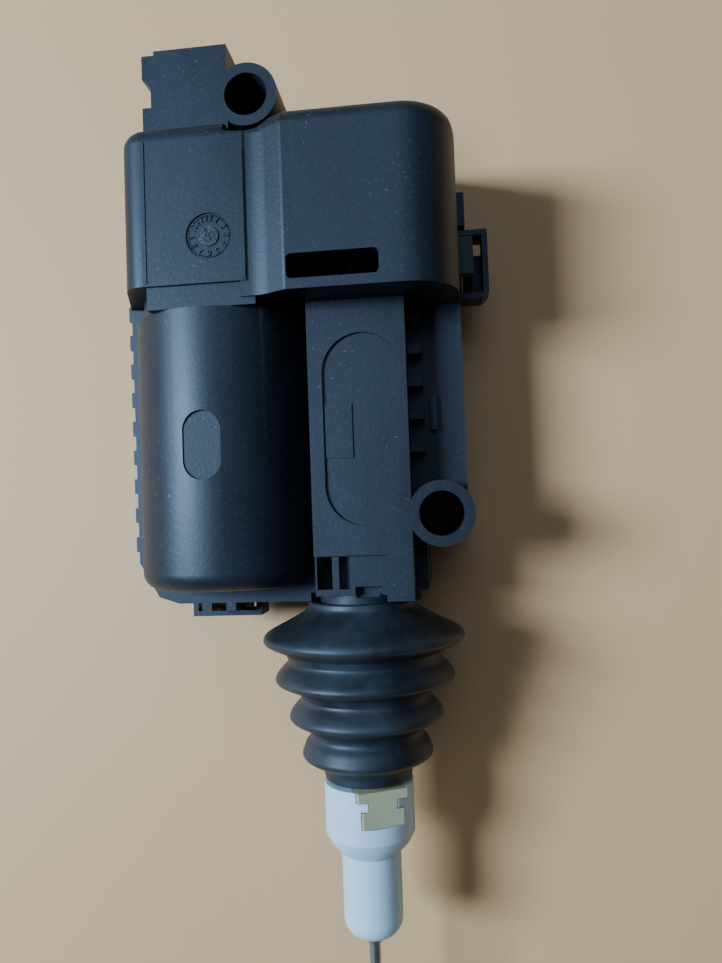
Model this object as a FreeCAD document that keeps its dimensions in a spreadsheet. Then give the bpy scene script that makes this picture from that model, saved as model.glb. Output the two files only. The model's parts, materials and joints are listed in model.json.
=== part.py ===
import FreeCAD, Part
import math
import os
import re
import Sketcher
from fcgear import fcgear, involute

# Central locking fuel flap lock: a geared motor draws a plunger and its locking rod in and out.
# Millimetres. Origin: axis of the front fixing bore at the mounting plane. +Y points at the plug
# socket, the plunger leaves towards -Y, +Z is the moulded top face.

doc = FreeCAD.newDocument("fuel_flap_lock")

sizes = {
    # axes
    "axis_height": 17.5,
    "plunger_offset": 14.2,
    "motor_spacing": 22.8,
    "rear_bore_left": 29.6,
    "rear_bore_back": 70.4,
    # clearances
    "static_gap": 0.2,
    "running_gap": 0.05,
    "press_gap": 0.02,
    "seat_gap": 0.3,
    # housing walls and fixing bosses
    "housing_wall": 1.5,
    "floor_wall": 2.0,
    "flange_rise": 2.0,
    "bore_diameter": 7.2,
    "boss_diameter": 10.6,
    "boss_relief": 8.6,
    "front_boss_rise": 9.6,
    "rear_boss_rise": 10.0,
    # plan outline of both shells
    "front_edge": 14.2,
    "neck_face": 12.8,
    "left_front": 53.0,
    "left_rear": 53.6,
    "left_corner_round": 5.4,
    "right_edge": 4.4,
    "rear_edge": "=box_rear + 1",
    "rear_corner_round": 6.0,
    "rib_pitch": 5.1,
    "rib_count": 13,
    "side_rib_width": 2.6,
    "side_rib_depth": 0.5,
    # motor barrel of the cover
    "barrel_radius": 15.0,
    "barrel_front": 11.3,
    "barrel_rear": "=step_front",
    "barrel_round": 3.0,
    "oval_left": 40.3,
    "oval_right": 34.1,
    "oval_front": 6.6,
    "oval_rear": 17.6,
    "oval_depth": 0.6,
    # flat box over the connector strips
    "box_left": 53.4,
    "box_knee": 49.75,
    "box_knee_rise": 12.4,
    "box_shoulder": 46.0,
    "box_right": 29.2,
    "box_front": 37.8,
    "box_rear": 64.3,
    "box_rise": 14.8,
    "box_side_round": 4.0,
    "box_rear_round": 3.0,
    "step_front": 34.1,
    "step_left": 45.7,
    "step_right": 27.9,
    "step_rise": 14.2,
    "bead_width": 0.6,
    "bead_rise": 0.15,
    "dial_left": 35.1,
    "dial_back": 45.3,
    "dial_radius": 3.7,
    "dial_depth": 0.3,
    # gear dome of the cover
    "dome_front": 35.3,
    "dome_rear": "=box_rear",
    "dome_rise": 16.8,
    "dome_half_width": 18.5,
    "dome_flat_left": 8.5,
    "dome_flat_right": 9.6,
    "dome_join_drop": 0.2,
    "dome_foot_left": 26.8,
    "dome_shoulder_rise": "=dome_rise - dome_half_width + dome_flat_right",
    "dome_rear_round": 3.0,
    "dome_slot_left": 8.2,
    "dome_slot_right": 6.2,
    "dome_slot_front": 36.9,
    "dome_slot_round": 0.8,
    "dome_slot_length": 3.9,
    "dome_window_front": 56.0,
    "dome_window_length": 5.5,
    "dome_window_low": 0.6,
    "dome_window_height": 7.8,
    "dome_window_depth": 0.9,
    # grained plate over the drive nut
    "plate_left": 6.7,
    "plate_right": 9.4,
    "plate_front": 6.3,
    "plate_rise": 9.0,
    "plate_recess_left": 4.4,
    "plate_recess_right": 8.6,
    "plate_recess_front": -1.6,
    "plate_recess_rear": 29.8,
    "plate_recess_depth": 0.5,
    "plate_mark_front": 9.5,
    "plate_mark_rear": 18.3,
    "plate_mark_right": 0.3,
    "plate_mark_gap": 0.3,
    "plate_mark_rise": 0.25,
    "deck_rib_first": 11.0,
    "deck_rib_pitch": 5.45,
    "deck_rib_count": 5,
    "deck_rib_thickness": 1.5,
    "deck_rib_rise": 5.0,
    "deck_rib_reach": 2.4,
    # neck that carries the bellows
    "neck_radius": 8.0,
    "neck_groove_radius": 7.2,
    "neck_end": 16.6,
    "neck_groove_rear": 14.0,
    "neck_groove_length": 1.6,
    # plug socket
    "socket_left": 47.3,
    "socket_width": 14.6,
    "socket_length": 14.9,
    "socket_rise": 10.0,
    "socket_drop": 2.5,
    "socket_wall": 1.2,
    "socket_depth": 12.5,
    "socket_notch_front": "=box_rear + 5.3",
    "socket_notch_length": 4.9,
    "socket_notch_depth": 1.5,
    # snap loops and hooks
    "loop_wall": 1.0,
    "side_loop_front": 37.4,
    "side_loop_length": 12.2,
    "side_loop_reach": 5.3,
    "loop_chamfer": 1.2,
    "loop_bottom": 9.0,
    "loop_top": 14.5,
    "front_loop_left": 45.3,
    "front_loop_length": 12.6,
    "front_loop_reach": 2.9,
    "front_hook_width": 1.7,
    "front_hook_spacing": 4.3,
    "hook_thickness": 1.5,
    "side_hook_width": 6.4,
    # inner bays
    "bay_front": "=dome_front + 1.3",
    "bay_rear": "=rear_bore_back - boss_relief - housing_wall",
    "bulkhead": 3.0,
    "channel_half": 7.7,
    "channel_upper_half": 5.6,
    "channel_depth": 5.7,
    "channel_front": 4.5,
    "channel_rear": 27.6,
    # motor
    "can_radius": 13.3,
    "can_wall": 0.8,
    "can_front": 7.6,
    "can_rear": 29.4,
    "can_boss_radius": 4.0,
    "can_boss_length": 2.0,
    "cap_thickness": 3.0,
    "cap_boss_radius": 4.5,
    "cap_boss_length": 2.0,
    "shaft_radius": 1.15,
    "shaft_rear": 44.5,
    "bush_wall": 1.35,
    "magnet_thickness": 3.4,
    "magnet_angle": 130.0,
    "magnet_front": -2.0,
    "magnet_length": 25.0,
    "core_radius": 8.5,
    "core_front": 3.0,
    "core_length": 16.0,
    "winding_radius": 6.9,
    "winding_overhang": 3.2,
    "commutator_radius": 3.2,
    "commutator_front": 24.0,
    "commutator_length": 4.6,
    "brush_width": 2.4,
    "brush_reach": 3.2,
    # gear train
    "motor_teeth": 10,
    "wheel_teeth": 28,
    "fine_module": 0.5,
    "pinion_teeth": 10,
    "spindle_teeth": 35,
    "coarse_module": 0.8,
    "tooth_shift": -0.16,
    "pressure_angle": 20.0,
    "motor_pinion_front": 37.5,
    "motor_pinion_length": 6.0,
    "wheel_front": 38.5,
    "wheel_length": 4.0,
    "pinion_length": 7.5,
    "spindle_gear_front": 43.6,
    "spindle_gear_length": 5.4,
    "axle_radius": 1.5,
    "axle_rear": 55.0,
    "axle_post_width": 6.6,
    "axle_post_thickness": 3.0,
    # lead screw and drive nut
    "screw_core_radius": 2.2,
    "screw_crest_radius": 3.1,
    "screw_lead": 8.0,
    "screw_starts": 2,
    "screw_front": -2.0,
    "thread_rear": 41.0,
    "thread_root_width": 2.0,
    "thread_crest_width": 1.2,
    "thread_gap": 0.2,
    "hub_radius": 5.0,
    "hub_overhang": 1.0,
    "journal_radius": 2.0,
    "journal_rear": "=bearing_front + bearing_length + 0.5",
    "bearing_front": 51.0,
    "bearing_length": 5.0,
    "bearing_radius": 4.0,
    "washer_thickness": 0.5,
    "nut_front": -1.0,
    "nut_length": 13.0,
    "nut_round": 0.8,
    "nut_wing_height": 4.2,
    # plunger, adaptor and rod
    "plunger_radius": 5.2,
    "plunger_bore": 3.4,
    "spigot_radius": 4.6,
    "spigot_length": 3.0,
    "plunger_front": 52.0,
    "plunger_bore_front": 40.0,
    "lug_angle": 24.0,
    "lug_flare_width": 8.4,
    "lug_flare_end": 46.1,
    "lug_neck_width": 4.8,
    "lug_neck_end": 47.7,
    "lug_head_width": 7.0,
    "lug_head_end": 50.3,
    "lug_radius": 7.1,
    "adaptor_rear": 44.6,
    "adaptor_radius": 7.55,
    "adaptor_bore_end": 53.0,
    "shoulder_rear": 53.1,
    "shoulder_front": 56.5,
    "adaptor_neck_radius": 5.0,
    "adaptor_front": 70.5,
    "adaptor_nose_round": 3.2,
    "rod_radius": 1.0,
    "rod_root_radius": 1.4,
    "rod_root_end": 71.5,
    "rod_rear": 58.0,
    "rod_front": 115.0,
    # bellows and bumpers
    "bellows_collar_radius": 9.3,
    "bellows_wall": 1.0,
    "cuff_radius": 7.5,
    "cuff_rear": 42.4,
    "cuff_front": 44.2,
    "crest_one": 17.35,
    "crest_two": 15.4,
    "crest_three": 13.2,
    "crest_four": 11.25,
    "crest_one_front": 20.5,
    "bellows_pitch": 6.4,
    "fold_depth": 3.3,
    "crest_round": 1.25,
    "valley_round": 1.1,
    "fold_half_width": 0.9,
    "bumper_length": 3.0,
    "bumper_radius": 5.4,
    # contact strips
    "strip_thickness": 0.8,
    "strip_width": 2.4,
    "pin_spacing": 5.0,
    "pin_height": 19.4,
    "pin_tip": "=box_rear + 10.2",
    "strip_roof_gap": 2.4,
    "strip_height": "=axis_height + box_rise - housing_wall - strip_thickness - strip_roof_gap",
    "terminal_rise": 8.0,
}

sheet = doc.addObject("Spreadsheet::Sheet", "Sizes")
for row, alias in enumerate(sizes, start=1):
    sheet.set("A%d" % row, alias)
    sheet.setAlias("B%d" % row, alias)
for row, value in enumerate(sizes.values(), start=1):
    sheet.set("B%d" % row, str(value))
doc.recompute()

# Places that several pieces share, as expressions on the sheet.
plunger_x = "-plunger_offset"
motor_x = "-(plunger_offset + motor_spacing)"
wheel_centre = "fine_module * (motor_teeth + wheel_teeth) / 2"
spindle_centre = "coarse_module * (pinion_teeth + spindle_teeth) / 2"
axle_along = "((motor_spacing^2 + (%s)^2 - (%s)^2) / (2 * motor_spacing))" % (spindle_centre, wheel_centre)
axle_drop = "sqrt((%s)^2 - %s^2)" % (spindle_centre, axle_along)
axle_x = "-(plunger_offset + %s)" % axle_along
axle_z = "(axis_height - %s)" % axle_drop


def named(text):
    """Put the sheet's name before each of its words in an expression."""
    return re.sub(r"[a-z][a-z_]+", lambda found: named_word(found.group(0)), text)


def named_word(word):
    """Leave the names of functions alone."""
    if word in sizes:
        return "Sizes." + word
    return word


def number(piece, text):
    """Value of an expression now."""
    return float(piece.evalExpression(named(text)))


def bind(piece, place, text):
    """Tie a property to an expression on the sheet."""
    piece.setExpression(place, named(text))


def new_body(label, x="0", y="0", z="0"):
    """A PartDesign body at a bound place."""
    body = doc.addObject("PartDesign::Body", label)
    body.Label = label
    bind(body, "Placement.Base.x", x)
    bind(body, "Placement.Base.y", y)
    bind(body, "Placement.Base.z", z)
    return body


def new_sketch(body, plane, offset="0"):
    """A sketch on one of the body's own origin planes, moved along its normal."""
    sketch = body.newObject("Sketcher::SketchObject", "sketch")
    support = [item for item in body.Origin.OriginFeatures if item.Role == plane][0]
    sketch.AttachmentSupport = (support, "")
    sketch.MapMode = "FlatFace"
    bind(sketch, "AttachmentOffset.Base.z", offset)
    return sketch


def outline(sketch, corners):
    """Closed outline through corners (x, y); a third entry is the radius of the arc that arrives
    there and a fourth, "cw", turns that arc clockwise."""
    spots = [FreeCAD.Vector(number(sketch, c[0]), number(sketch, c[1]), 0) for c in corners]
    first = sketch.GeometryCount
    count = len(corners)
    for index in range(count):
        start = spots[index]
        end = spots[(index + 1) % count]
        corner = corners[(index + 1) % count]
        if len(corner) > 2:
            sketch.addGeometry(arc_between(start, end, number(sketch, corner[2]), corner[3:] == ("cw",)))
        else:
            sketch.addGeometry(Part.LineSegment(start, end))
    ends = []
    for index in range(count):
        clockwise = corners[(index + 1) % count][3:] == ("cw",)
        ends.append((2, 1) if clockwise else (1, 2))
    for index in range(count):
        after = (index + 1) % count
        joint = ("Coincident", first + index, ends[index][1], first + after, ends[after][0])
        sketch.addConstraint(Sketcher.Constraint(*joint))
    for index in range(count):
        for kind, text, value in (("DistanceX", corners[index][0], spots[index].x),
                                  ("DistanceY", corners[index][1], spots[index].y)):
            spot = (kind, -1, 1, first + index, ends[index][0], value)
            mark = sketch.addConstraint(Sketcher.Constraint(*spot))
            bind(sketch, "Constraints[%d]" % mark, text)
        arriving = (index - 1) % count
        if len(corners[index]) > 2:
            value = number(sketch, corners[index][2])
            mark = sketch.addConstraint(Sketcher.Constraint("Radius", first + arriving, value))
            bind(sketch, "Constraints[%d]" % mark, corners[index][2])
    return sketch


def arc_between(start, end, radius, clockwise):
    """Arc of a given radius from start to end, the short way round."""
    chord = end - start
    half = chord.Length / 2
    side = FreeCAD.Vector(-chord.y, chord.x, 0).normalize()
    rise = math.sqrt(max(radius ** 2 - half ** 2, 0))
    centre = start + chord * 0.5 + side * (-rise if clockwise else rise)
    circle = Part.Circle(centre, FreeCAD.Vector(0, 0, 1), radius)
    angles = [math.atan2(spot.y - centre.y, spot.x - centre.x) for spot in (start, end)]
    if clockwise:
        angles.reverse()
    if angles[1] < angles[0]:
        angles[1] += 2 * math.pi
    return Part.ArcOfCircle(circle, angles[0], angles[1])


def rectangle(sketch, left, right, low, high):
    """Closed rectangle between bound edges."""
    return outline(sketch, [(left, low), (right, low), (right, high), (left, high)])


def ring(sketch, x, y, radius):
    """Circle at a bound place."""
    centre = FreeCAD.Vector(number(sketch, x), number(sketch, y), 0)
    size = number(sketch, radius)
    index = sketch.addGeometry(Part.Circle(centre, FreeCAD.Vector(0, 0, 1), size))
    for kind, text, value in (("DistanceX", x, centre.x), ("DistanceY", y, centre.y)):
        mark = sketch.addConstraint(Sketcher.Constraint(kind, -1, 1, index, 3, value))
        bind(sketch, "Constraints[%d]" % mark, text)
    mark = sketch.addConstraint(Sketcher.Constraint("Radius", index, size))
    bind(sketch, "Constraints[%d]" % mark, radius)
    return sketch


def pad(body, sketch, length, reverse=False):
    """Pad along the sketch's normal."""
    feature = body.newObject("PartDesign::Pad", "pad")
    feature.Profile = sketch
    bind(feature, "Length", length)
    feature.Reversed = reverse
    doc.recompute()
    return feature


def pad_up(body, draw, low, high):
    """Prism between two heights; draw fills its sketch in plan."""
    return pad(body, draw(new_sketch(body, "XY_Plane", low)), "(%s) - (%s)" % (high, low))


def pad_back(body, draw, front, rear):
    """Prism along +Y between two places; draw fills its sketch in X and Z."""
    sketch = draw(new_sketch(body, "XZ_Plane", "-(%s)" % front))
    return pad(body, sketch, "(%s) - (%s)" % (rear, front), reverse=True)


def box_sketch(left, right, low, high):
    """Sketch filler for a rectangle."""
    return lambda sketch: rectangle(sketch, left, right, low, high)


def ring_sketch(x, y, radius):
    """Sketch filler for a circle."""
    return lambda sketch: ring(sketch, x, y, radius)


def turn(body, corners, kind="Revolution"):
    """Turned form about the body's own Y axis from a half section of (radius, y)."""
    sketch = outline(new_sketch(body, "XY_Plane"), corners)
    before = body.Shape.Volume if kind == "Groove" else 0
    feature = body.newObject("PartDesign::%s" % kind, kind.lower())
    feature.Profile = sketch
    feature.ReferenceAxis = (sketch, ["V_Axis"])
    feature.Angle = 360
    doc.recompute()
    if kind == "Groove" and body.Shape.Volume > before - 1e-6:
        raise RuntimeError("a groove in %s cuts nothing" % body.Label)
    return feature


def tube_section(inner, outer, front, rear):
    """Half section of a plain tube."""
    return [(inner, front), (outer, front), (outer, rear), (inner, rear)]


def turned(label, sections, x, z="axis_height"):
    """A turned piece on an axis along Y, from one or more half sections."""
    body = new_body(label, x=x, z=z)
    for corners in sections:
        turn(body, corners)
    return body


def round_edges(body, radius, chosen):
    """Fillet the edges that the test picks."""
    base = body.Tip
    names = [
        "Edge%d" % index
        for index, edge in enumerate(base.Shape.Edges, start=1)
        if chosen(edge)
    ]
    if not names:
        raise RuntimeError("no edge to round in %s" % body.Label)
    feature = body.newObject("PartDesign::Fillet", "fillet")
    feature.Base = (base, names)
    bind(feature, "Radius", radius)
    doc.recompute()
    return feature


def at(edge, x=None, y=None, z=None, slack=0.02):
    """True where the whole edge lies at the given coordinates."""
    box = edge.BoundBox
    for wanted, low, high in ((x, box.XMin, box.XMax), (y, box.YMin, box.YMax), (z, box.ZMin, box.ZMax)):
        if wanted is not None and (abs(low - wanted) > slack or abs(high - wanted) > slack):
            return False
    return True


def place(text):
    """Value of an expression on the sheet, in millimetres."""
    return number(cover_forms, text)


def boolean(kind, label, base, tool):
    """Part boolean of two objects."""
    result = doc.addObject("Part::%s" % kind, label)
    result.Label = label
    result.Base = base
    result.Tool = tool
    doc.recompute()
    return result


def shell(label, forms, bays, details, holes):
    """Moulded shell: its outer forms less the bays, with ribs and hooks added, less the holes."""
    for solid in bays.Shape.Solids:
        if solid.common(forms.Shape).Volume < 1e-6:
            raise RuntimeError("a bay of %s cuts nothing" % label)
    hollow = boolean("Cut", label + "_hollow", forms, bays)
    ribbed = boolean("Fuse", label + "_ribbed", hollow, details)
    for solid in holes.Shape.Solids:
        if solid.common(ribbed.Shape).Volume < 1e-6:
            raise RuntimeError("a hole of %s cuts nothing" % label)
    return boolean("Cut", label, ribbed, holes)


def plan(inset):
    """Sketch filler: plan outline that the two shells share, with a wall taken off all round."""
    return lambda sketch: outline(sketch, [
        ("-(left_front) + %s" % inset, "-7"),
        ("-(left_front) + 3.4 + %s" % inset, "-front_edge + 1.2 + %s" % inset),
        ("-(left_front) + 7 + %s" % inset, "-front_edge + %s" % inset),
        ("-plunger_offset - neck_radius - 0.6", "-front_edge + %s" % inset),
        ("-plunger_offset - neck_radius - 0.6", "-neck_face + %s" % inset),
        ("-2.7 - %s" % inset, "-neck_face + %s" % inset),
        ("-2.7 - %s" % inset, "-4"),
        ("right_edge - %s" % inset, "0"),
        ("right_edge - %s" % inset, "rear_edge - rear_corner_round"),
        ("right_edge - rear_corner_round - %s" % inset, "rear_edge - %s" % inset, "rear_corner_round"),
        ("-rear_bore_left + 6.6", "rear_edge - %s" % inset),
        ("-rear_bore_left + 4.4", "rear_bore_back - 1.9"),
        ("-rear_bore_left - 4.4", "rear_bore_back - 1.9"),
        ("-rear_bore_left - 4.4", "box_rear - %s" % inset),
        ("-left_rear + left_corner_round + %s" % inset, "box_rear - %s" % inset),
        ("-left_rear + %s" % inset, "box_rear - left_corner_round - %s" % inset, "left_corner_round"),
    ])


# Cover shell: the moulded top half, from the parting plane through both axes upwards.
cover_forms = new_body("cover_forms")
cover_bays = new_body("cover_bays")
cover_details = new_body("cover_details")
cover_holes = new_body("cover_holes")
top = "axis_height + "
pad_up(cover_forms, plan("0"), "axis_height", top + "flange_rise")


def half_round(radius):
    """Sketch filler: half disc above the parting plane on the motor axis."""
    return lambda sketch: outline(sketch, [
        (motor_x + " - " + radius, "axis_height", radius),
        (motor_x + " + " + radius, "axis_height"),
        (motor_x, "axis_height + " + radius, radius),
    ])


def box_form(wall):
    """Sketch filler: section of the flat box with its sloping left side, with a wall taken off."""
    return lambda sketch: outline(sketch, [
        ("-box_left + %s" % wall, "axis_height"),
        ("-box_right + 2", "axis_height"),
        ("-box_right + 2", top + "box_rise - 1 - %s" % wall),
        ("-box_right", top + "box_rise - %s" % wall),
        ("-box_shoulder", top + "box_rise - %s" % wall),
        ("-box_knee + 0.94 * %s" % wall, top + "box_knee_rise - 0.33 * %s" % wall,
         "box_side_round - %s" % wall),
        ("-box_left + %s" % wall, top + "flange_rise"),
    ])


def dome_form(wall):
    """Sketch filler: section of the gear dome, with a wall taken off."""
    return lambda sketch: outline(sketch, [
        ("-box_right - 1 + %s" % wall, "axis_height"),
        ("-plunger_offset + dome_half_width - %s" % wall, "axis_height"),
        ("-plunger_offset + dome_half_width - %s" % wall, top + "dome_shoulder_rise"),
        ("-plunger_offset + dome_flat_right", top + "dome_rise - %s" % wall,
         "dome_half_width - dome_flat_right - %s" % wall),
        ("-plunger_offset - dome_flat_left", top + "dome_rise - %s" % wall),
        ("-dome_foot_left", top + "box_rise - dome_join_drop - %s" % wall),
        ("-box_right - 1 + %s" % wall, top + "box_rise - dome_join_drop - %s" % wall),
    ])


def side_ribs(body, low, high):
    """Row of upright ribs along the slanted left wall, between two heights."""
    sketch = new_sketch(body, "XY_Plane", low)
    bind(sketch, "AttachmentOffset.Base.x", "-left_front")
    bind(sketch, "AttachmentOffset.Base.y", "-7")
    bind(sketch, "AttachmentOffset.Rotation.Angle", side_slant)
    rectangle(sketch, "-side_rib_depth", "1.4", "2", "2 + side_rib_width")
    rib = pad(body, sketch, "(%s) - (%s)" % (high, low))
    row = body.newObject("PartDesign::LinearPattern", "side_ribs")
    row.Originals = [rib]
    row.Direction = (sketch, ["V_Axis"])
    bind(row, "Length", "rib_pitch * (rib_count - 1)")
    bind(row, "Occurrences", "rib_count")
    body.Tip = row
    doc.recompute()


side_slant = "atan((left_rear - left_front) / (box_rear + 2.8))"
side_ribs(cover_forms, "axis_height", top + "flange_rise")
cover_barrel = new_body("cover_barrel")
pad_back(cover_barrel, half_round("barrel_radius"), "-barrel_front", "barrel_rear")
round_edges(cover_barrel, "barrel_round", lambda edge: at(edge, y=-place("barrel_front"))
            and edge.BoundBox.ZMax > place("axis_height + barrel_radius") - 1)
pad_back(cover_forms, half_round("(step_rise - 0.4)"), "barrel_rear - 0.5", "box_front + 0.2")
cover_box = new_body("cover_box")
pad_back(cover_box, box_form("0"), "box_front", "box_rear")
round_edges(cover_box, "box_rear_round", lambda edge: at(edge, y=place("box_rear"))
            and edge.BoundBox.ZMax > place("axis_height + box_rise") - 0.1)
pad_back(cover_forms, box_sketch("-step_left", "-step_right", "axis_height + 5", top + "step_rise"),
         "step_front", "box_front + 0.5")
for bead_left, bead_rear in (("-box_shoulder", "box_rear - box_rear_round"),
                             ("-box_right - bead_width", "box_rear - box_rear_round - 2.5")):
    pad_up(cover_forms, box_sketch(bead_left, bead_left + " + bead_width", "box_front + 0.4", bead_rear),
           top + "box_rise - 0.5", top + "box_rise + bead_rise")
cover_dome = new_body("cover_dome")
pad_back(cover_dome, dome_form("0"), "dome_front", "dome_rear")
round_edges(cover_dome, "dome_rear_round", lambda edge: at(edge, y=place("dome_rear"))
            and edge.BoundBox.ZMin > place("axis_height") - 0.1
            and edge.BoundBox.ZMax > place("axis_height") + 1
            and edge.BoundBox.XMax > -place("box_right"))
pad_up(cover_bays, lambda sketch: outline(sketch, [
    ("-box_left", "box_rear - left_corner_round"),
    ("-box_left + left_corner_round", "box_rear", "left_corner_round", "cw"),
    ("-box_left + left_corner_round", "box_rear + 1"),
    ("-box_left - 1", "box_rear + 1"),
    ("-box_left - 1", "box_rear - left_corner_round"),
]), "axis_height", top + "box_rise + 1")
pad_up(cover_bays, lambda sketch: outline(sketch, [
    ("right_edge", "rear_edge - rear_corner_round", "rear_corner_round", "cw"),
    ("right_edge + 1", "rear_edge - rear_corner_round"),
    ("right_edge + 1", "rear_edge + 1"),
    ("right_edge - rear_corner_round", "rear_edge + 1"),
    ("right_edge - rear_corner_round", "rear_edge"),
]), "axis_height", top + "dome_rise + 1")

# Plate over the drive nut, neck block and bearing for the plunger.
pad_up(cover_forms, box_sketch("-plunger_offset - plate_left", "-plunger_offset + plate_right",
       "-plate_front", "dome_front + 0.5"), "axis_height", top + "plate_rise")
pad_up(cover_forms, box_sketch("-plunger_offset - plate_left", "-plunger_offset + 5",
       "-neck_face", "-plate_front"), "axis_height", top + "plate_rise - 1")
pad_up(cover_forms, box_sketch("-plunger_offset + 5", "-plunger_offset + plate_right",
       "-neck_face - 1", "-plate_front"), "axis_height", top + "plate_rise")
pad_up(cover_forms, box_sketch("-plunger_offset + plate_right - 2", "-plunger_offset + plate_right + 0.8",
       "-neck_face - 1.3", "-neck_face + 1"), "axis_height", top + "plate_rise - 4")

# Fixing bosses, right deck and plug socket.
pad_up(cover_forms, ring_sketch("0", "0", "boss_diameter / 2"), "axis_height", top + "front_boss_rise")
pad_up(cover_forms, ring_sketch("-rear_bore_left", "rear_bore_back", "boss_diameter / 2"),
       "axis_height", top + "rear_boss_rise")
pad_up(cover_forms, box_sketch("-socket_left", "-socket_left + socket_width", "box_rear - 1",
       "box_rear + socket_length"), "axis_height - socket_drop", top + "socket_rise")
pad_up(cover_bays, lambda sketch: outline(sketch, [
    ("-socket_left - 1", "socket_notch_front"),
    ("-socket_left + socket_notch_depth", "socket_notch_front"),
    ("-socket_left + socket_notch_depth", "socket_notch_front + socket_notch_length - 1.5"),
    ("-socket_left", "socket_notch_front + socket_notch_length"),
    ("-socket_left - 1", "socket_notch_front + socket_notch_length"),
]), "axis_height - socket_drop - 1", top + "socket_rise + 1")
pad_up(cover_bays, box_sketch("-socket_left - 1", "-socket_left + 2.1",
            "box_rear + socket_length - 0.7", "box_rear + socket_length + 1"),
            "axis_height - socket_drop - 1", top + "socket_rise + 1")
pad_back(cover_bays, box_sketch("-socket_left + socket_notch_depth + socket_wall",
            "-socket_left + socket_width - socket_wall",
            "axis_height - socket_drop + socket_wall", top + "socket_rise - socket_wall"),
            "box_rear + socket_length - socket_depth", "box_rear + socket_length + 1")
pad_up(cover_bays, box_sketch("-socket_left - 1", "-socket_left + socket_width + 1", "box_rear - 2",
       "box_rear + static_gap"), "axis_height - socket_drop - 1", "axis_height")

# Relief round the rear boss, right of the socket and above the flange.
relief_left = "(-socket_left + socket_width + static_gap)"
relief_reach = "(rear_bore_left + %s)" % relief_left
relief_back = "(rear_edge + 1)"
relief_rise = "(rear_bore_back - %s)" % relief_back
pad_up(cover_bays, lambda sketch: outline(sketch, [
    (relief_left, "rear_bore_back - sqrt(boss_relief^2 - %s^2)" % relief_reach),
    ("-rear_bore_left + sqrt(boss_relief^2 - %s^2)" % relief_rise, relief_back, "boss_relief"),
    ("-rear_bore_left + sqrt((boss_diameter / 2)^2 - %s^2)" % relief_rise, relief_back),
    (relief_left, "rear_bore_back - sqrt((boss_diameter / 2)^2 - %s^2)" % relief_reach,
     "boss_diameter / 2", "cw"),
]), top + "flange_rise", top + "dome_rise + 1")

# Bays inside the cover.
pad_back(cover_bays, half_round("(barrel_radius - housing_wall)"),
            "-barrel_front + housing_wall", "bay_front - bulkhead")
pad_back(cover_bays, box_form("housing_wall"), "box_front + housing_wall", "bay_rear")
pad_back(cover_bays, dome_form("housing_wall"), "bay_front + 0.2", "bay_rear")
pad_back(cover_bays, box_sketch("-plunger_offset - channel_upper_half",
         "-plunger_offset + channel_upper_half", "axis_height", top + "channel_upper_half"),
         "-channel_front", "channel_rear")
pad_back(cover_bays, box_sketch("-plunger_offset - channel_upper_half", "-plunger_offset + channel_half",
            "axis_height", top + "6"), "channel_rear + 2", "bay_front + 1")
pad_up(cover_bays, box_sketch("-plunger_offset + plate_right + 1.6", "right_edge - housing_wall",
            "7", "bay_front - bulkhead - 1"), "axis_height", top + "0.8")

pad_back(cover_bays, box_sketch(motor_x + " - 8", "-box_right + 2", "axis_height", top + "1.3"),
         "bay_front + 0.2", "box_front + housing_wall + 1")

# Passages for the motor's boss, the strips, the spindle and the plunger.
pad_back(cover_bays, ring_sketch(motor_x, "axis_height", "cap_boss_radius + 0.5"),
            "bay_front - bulkhead - 0.5", "box_front + housing_wall + 1")
pad_back(cover_bays, box_sketch(motor_x + " - pin_spacing / 2 - 4", motor_x + " + pin_spacing / 2 + 4",
            "axis_height + 8", "strip_height + strip_thickness + 0.6"),
            "bay_front - bulkhead - 1", "box_front + housing_wall + 1")
pad_back(cover_bays, ring_sketch(plunger_x, "axis_height", "screw_crest_radius + 0.6"),
            "channel_rear - 1", "channel_rear + 3")

# Bearing block for the spindle and its seat for the bush.
pad_up(cover_details, box_sketch("-plunger_offset - 5.5", "-plunger_offset + 5.5", "bearing_front",
       "bearing_front + bearing_length"), "axis_height", top + "dome_rise - housing_wall + 0.2")
pad_back(cover_holes, ring_sketch(plunger_x, "axis_height", "bearing_radius + press_gap"),
            "bearing_front - 1", "bearing_front + bearing_length + 1")
pad_back(cover_holes, box_sketch("-plunger_offset - 1.6", "-plunger_offset + 1.6", "axis_height + 6",
            "axis_height + 12"), "bearing_front - 1", "bearing_front + bearing_length + 1")
socket_middle = "(-socket_left + (socket_width + socket_notch_depth) / 2)"
pins = [socket_middle + " - pin_spacing / 2", socket_middle + " + pin_spacing / 2"]
for pin in pins:
    pad_back(cover_holes, box_sketch(pin + " - strip_width / 2 - press_gap",
             pin + " + strip_width / 2 + press_gap", "pin_height - press_gap",
             "pin_height + strip_thickness + press_gap"),
             "bay_rear - 1", "box_rear + socket_length - socket_depth + 1")

# Neck with the groove for the bellows' collar, then the plunger's guide through it.


def half_ring(radius):
    """Sketch filler: half disc above the parting plane on the plunger axis."""
    return lambda sketch: outline(sketch, [
        (plunger_x + " - " + radius, "axis_height", radius),
        (plunger_x + " + " + radius, "axis_height"),
        (plunger_x, "axis_height + " + radius, radius),
    ])


groove_front = "(neck_groove_rear + neck_groove_length)"
pad_back(cover_details, half_ring("neck_radius"), "-neck_end", "-%s" % groove_front)
pad_back(cover_details, half_ring("neck_groove_radius"), "-%s - 0.1" % groove_front, "-neck_face + 1")
guide_radius = "plunger_radius + running_gap"
pad_back(cover_holes, ring_sketch(plunger_x, "axis_height", guide_radius), "-neck_end - 1",
         "-channel_front + 1")

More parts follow.
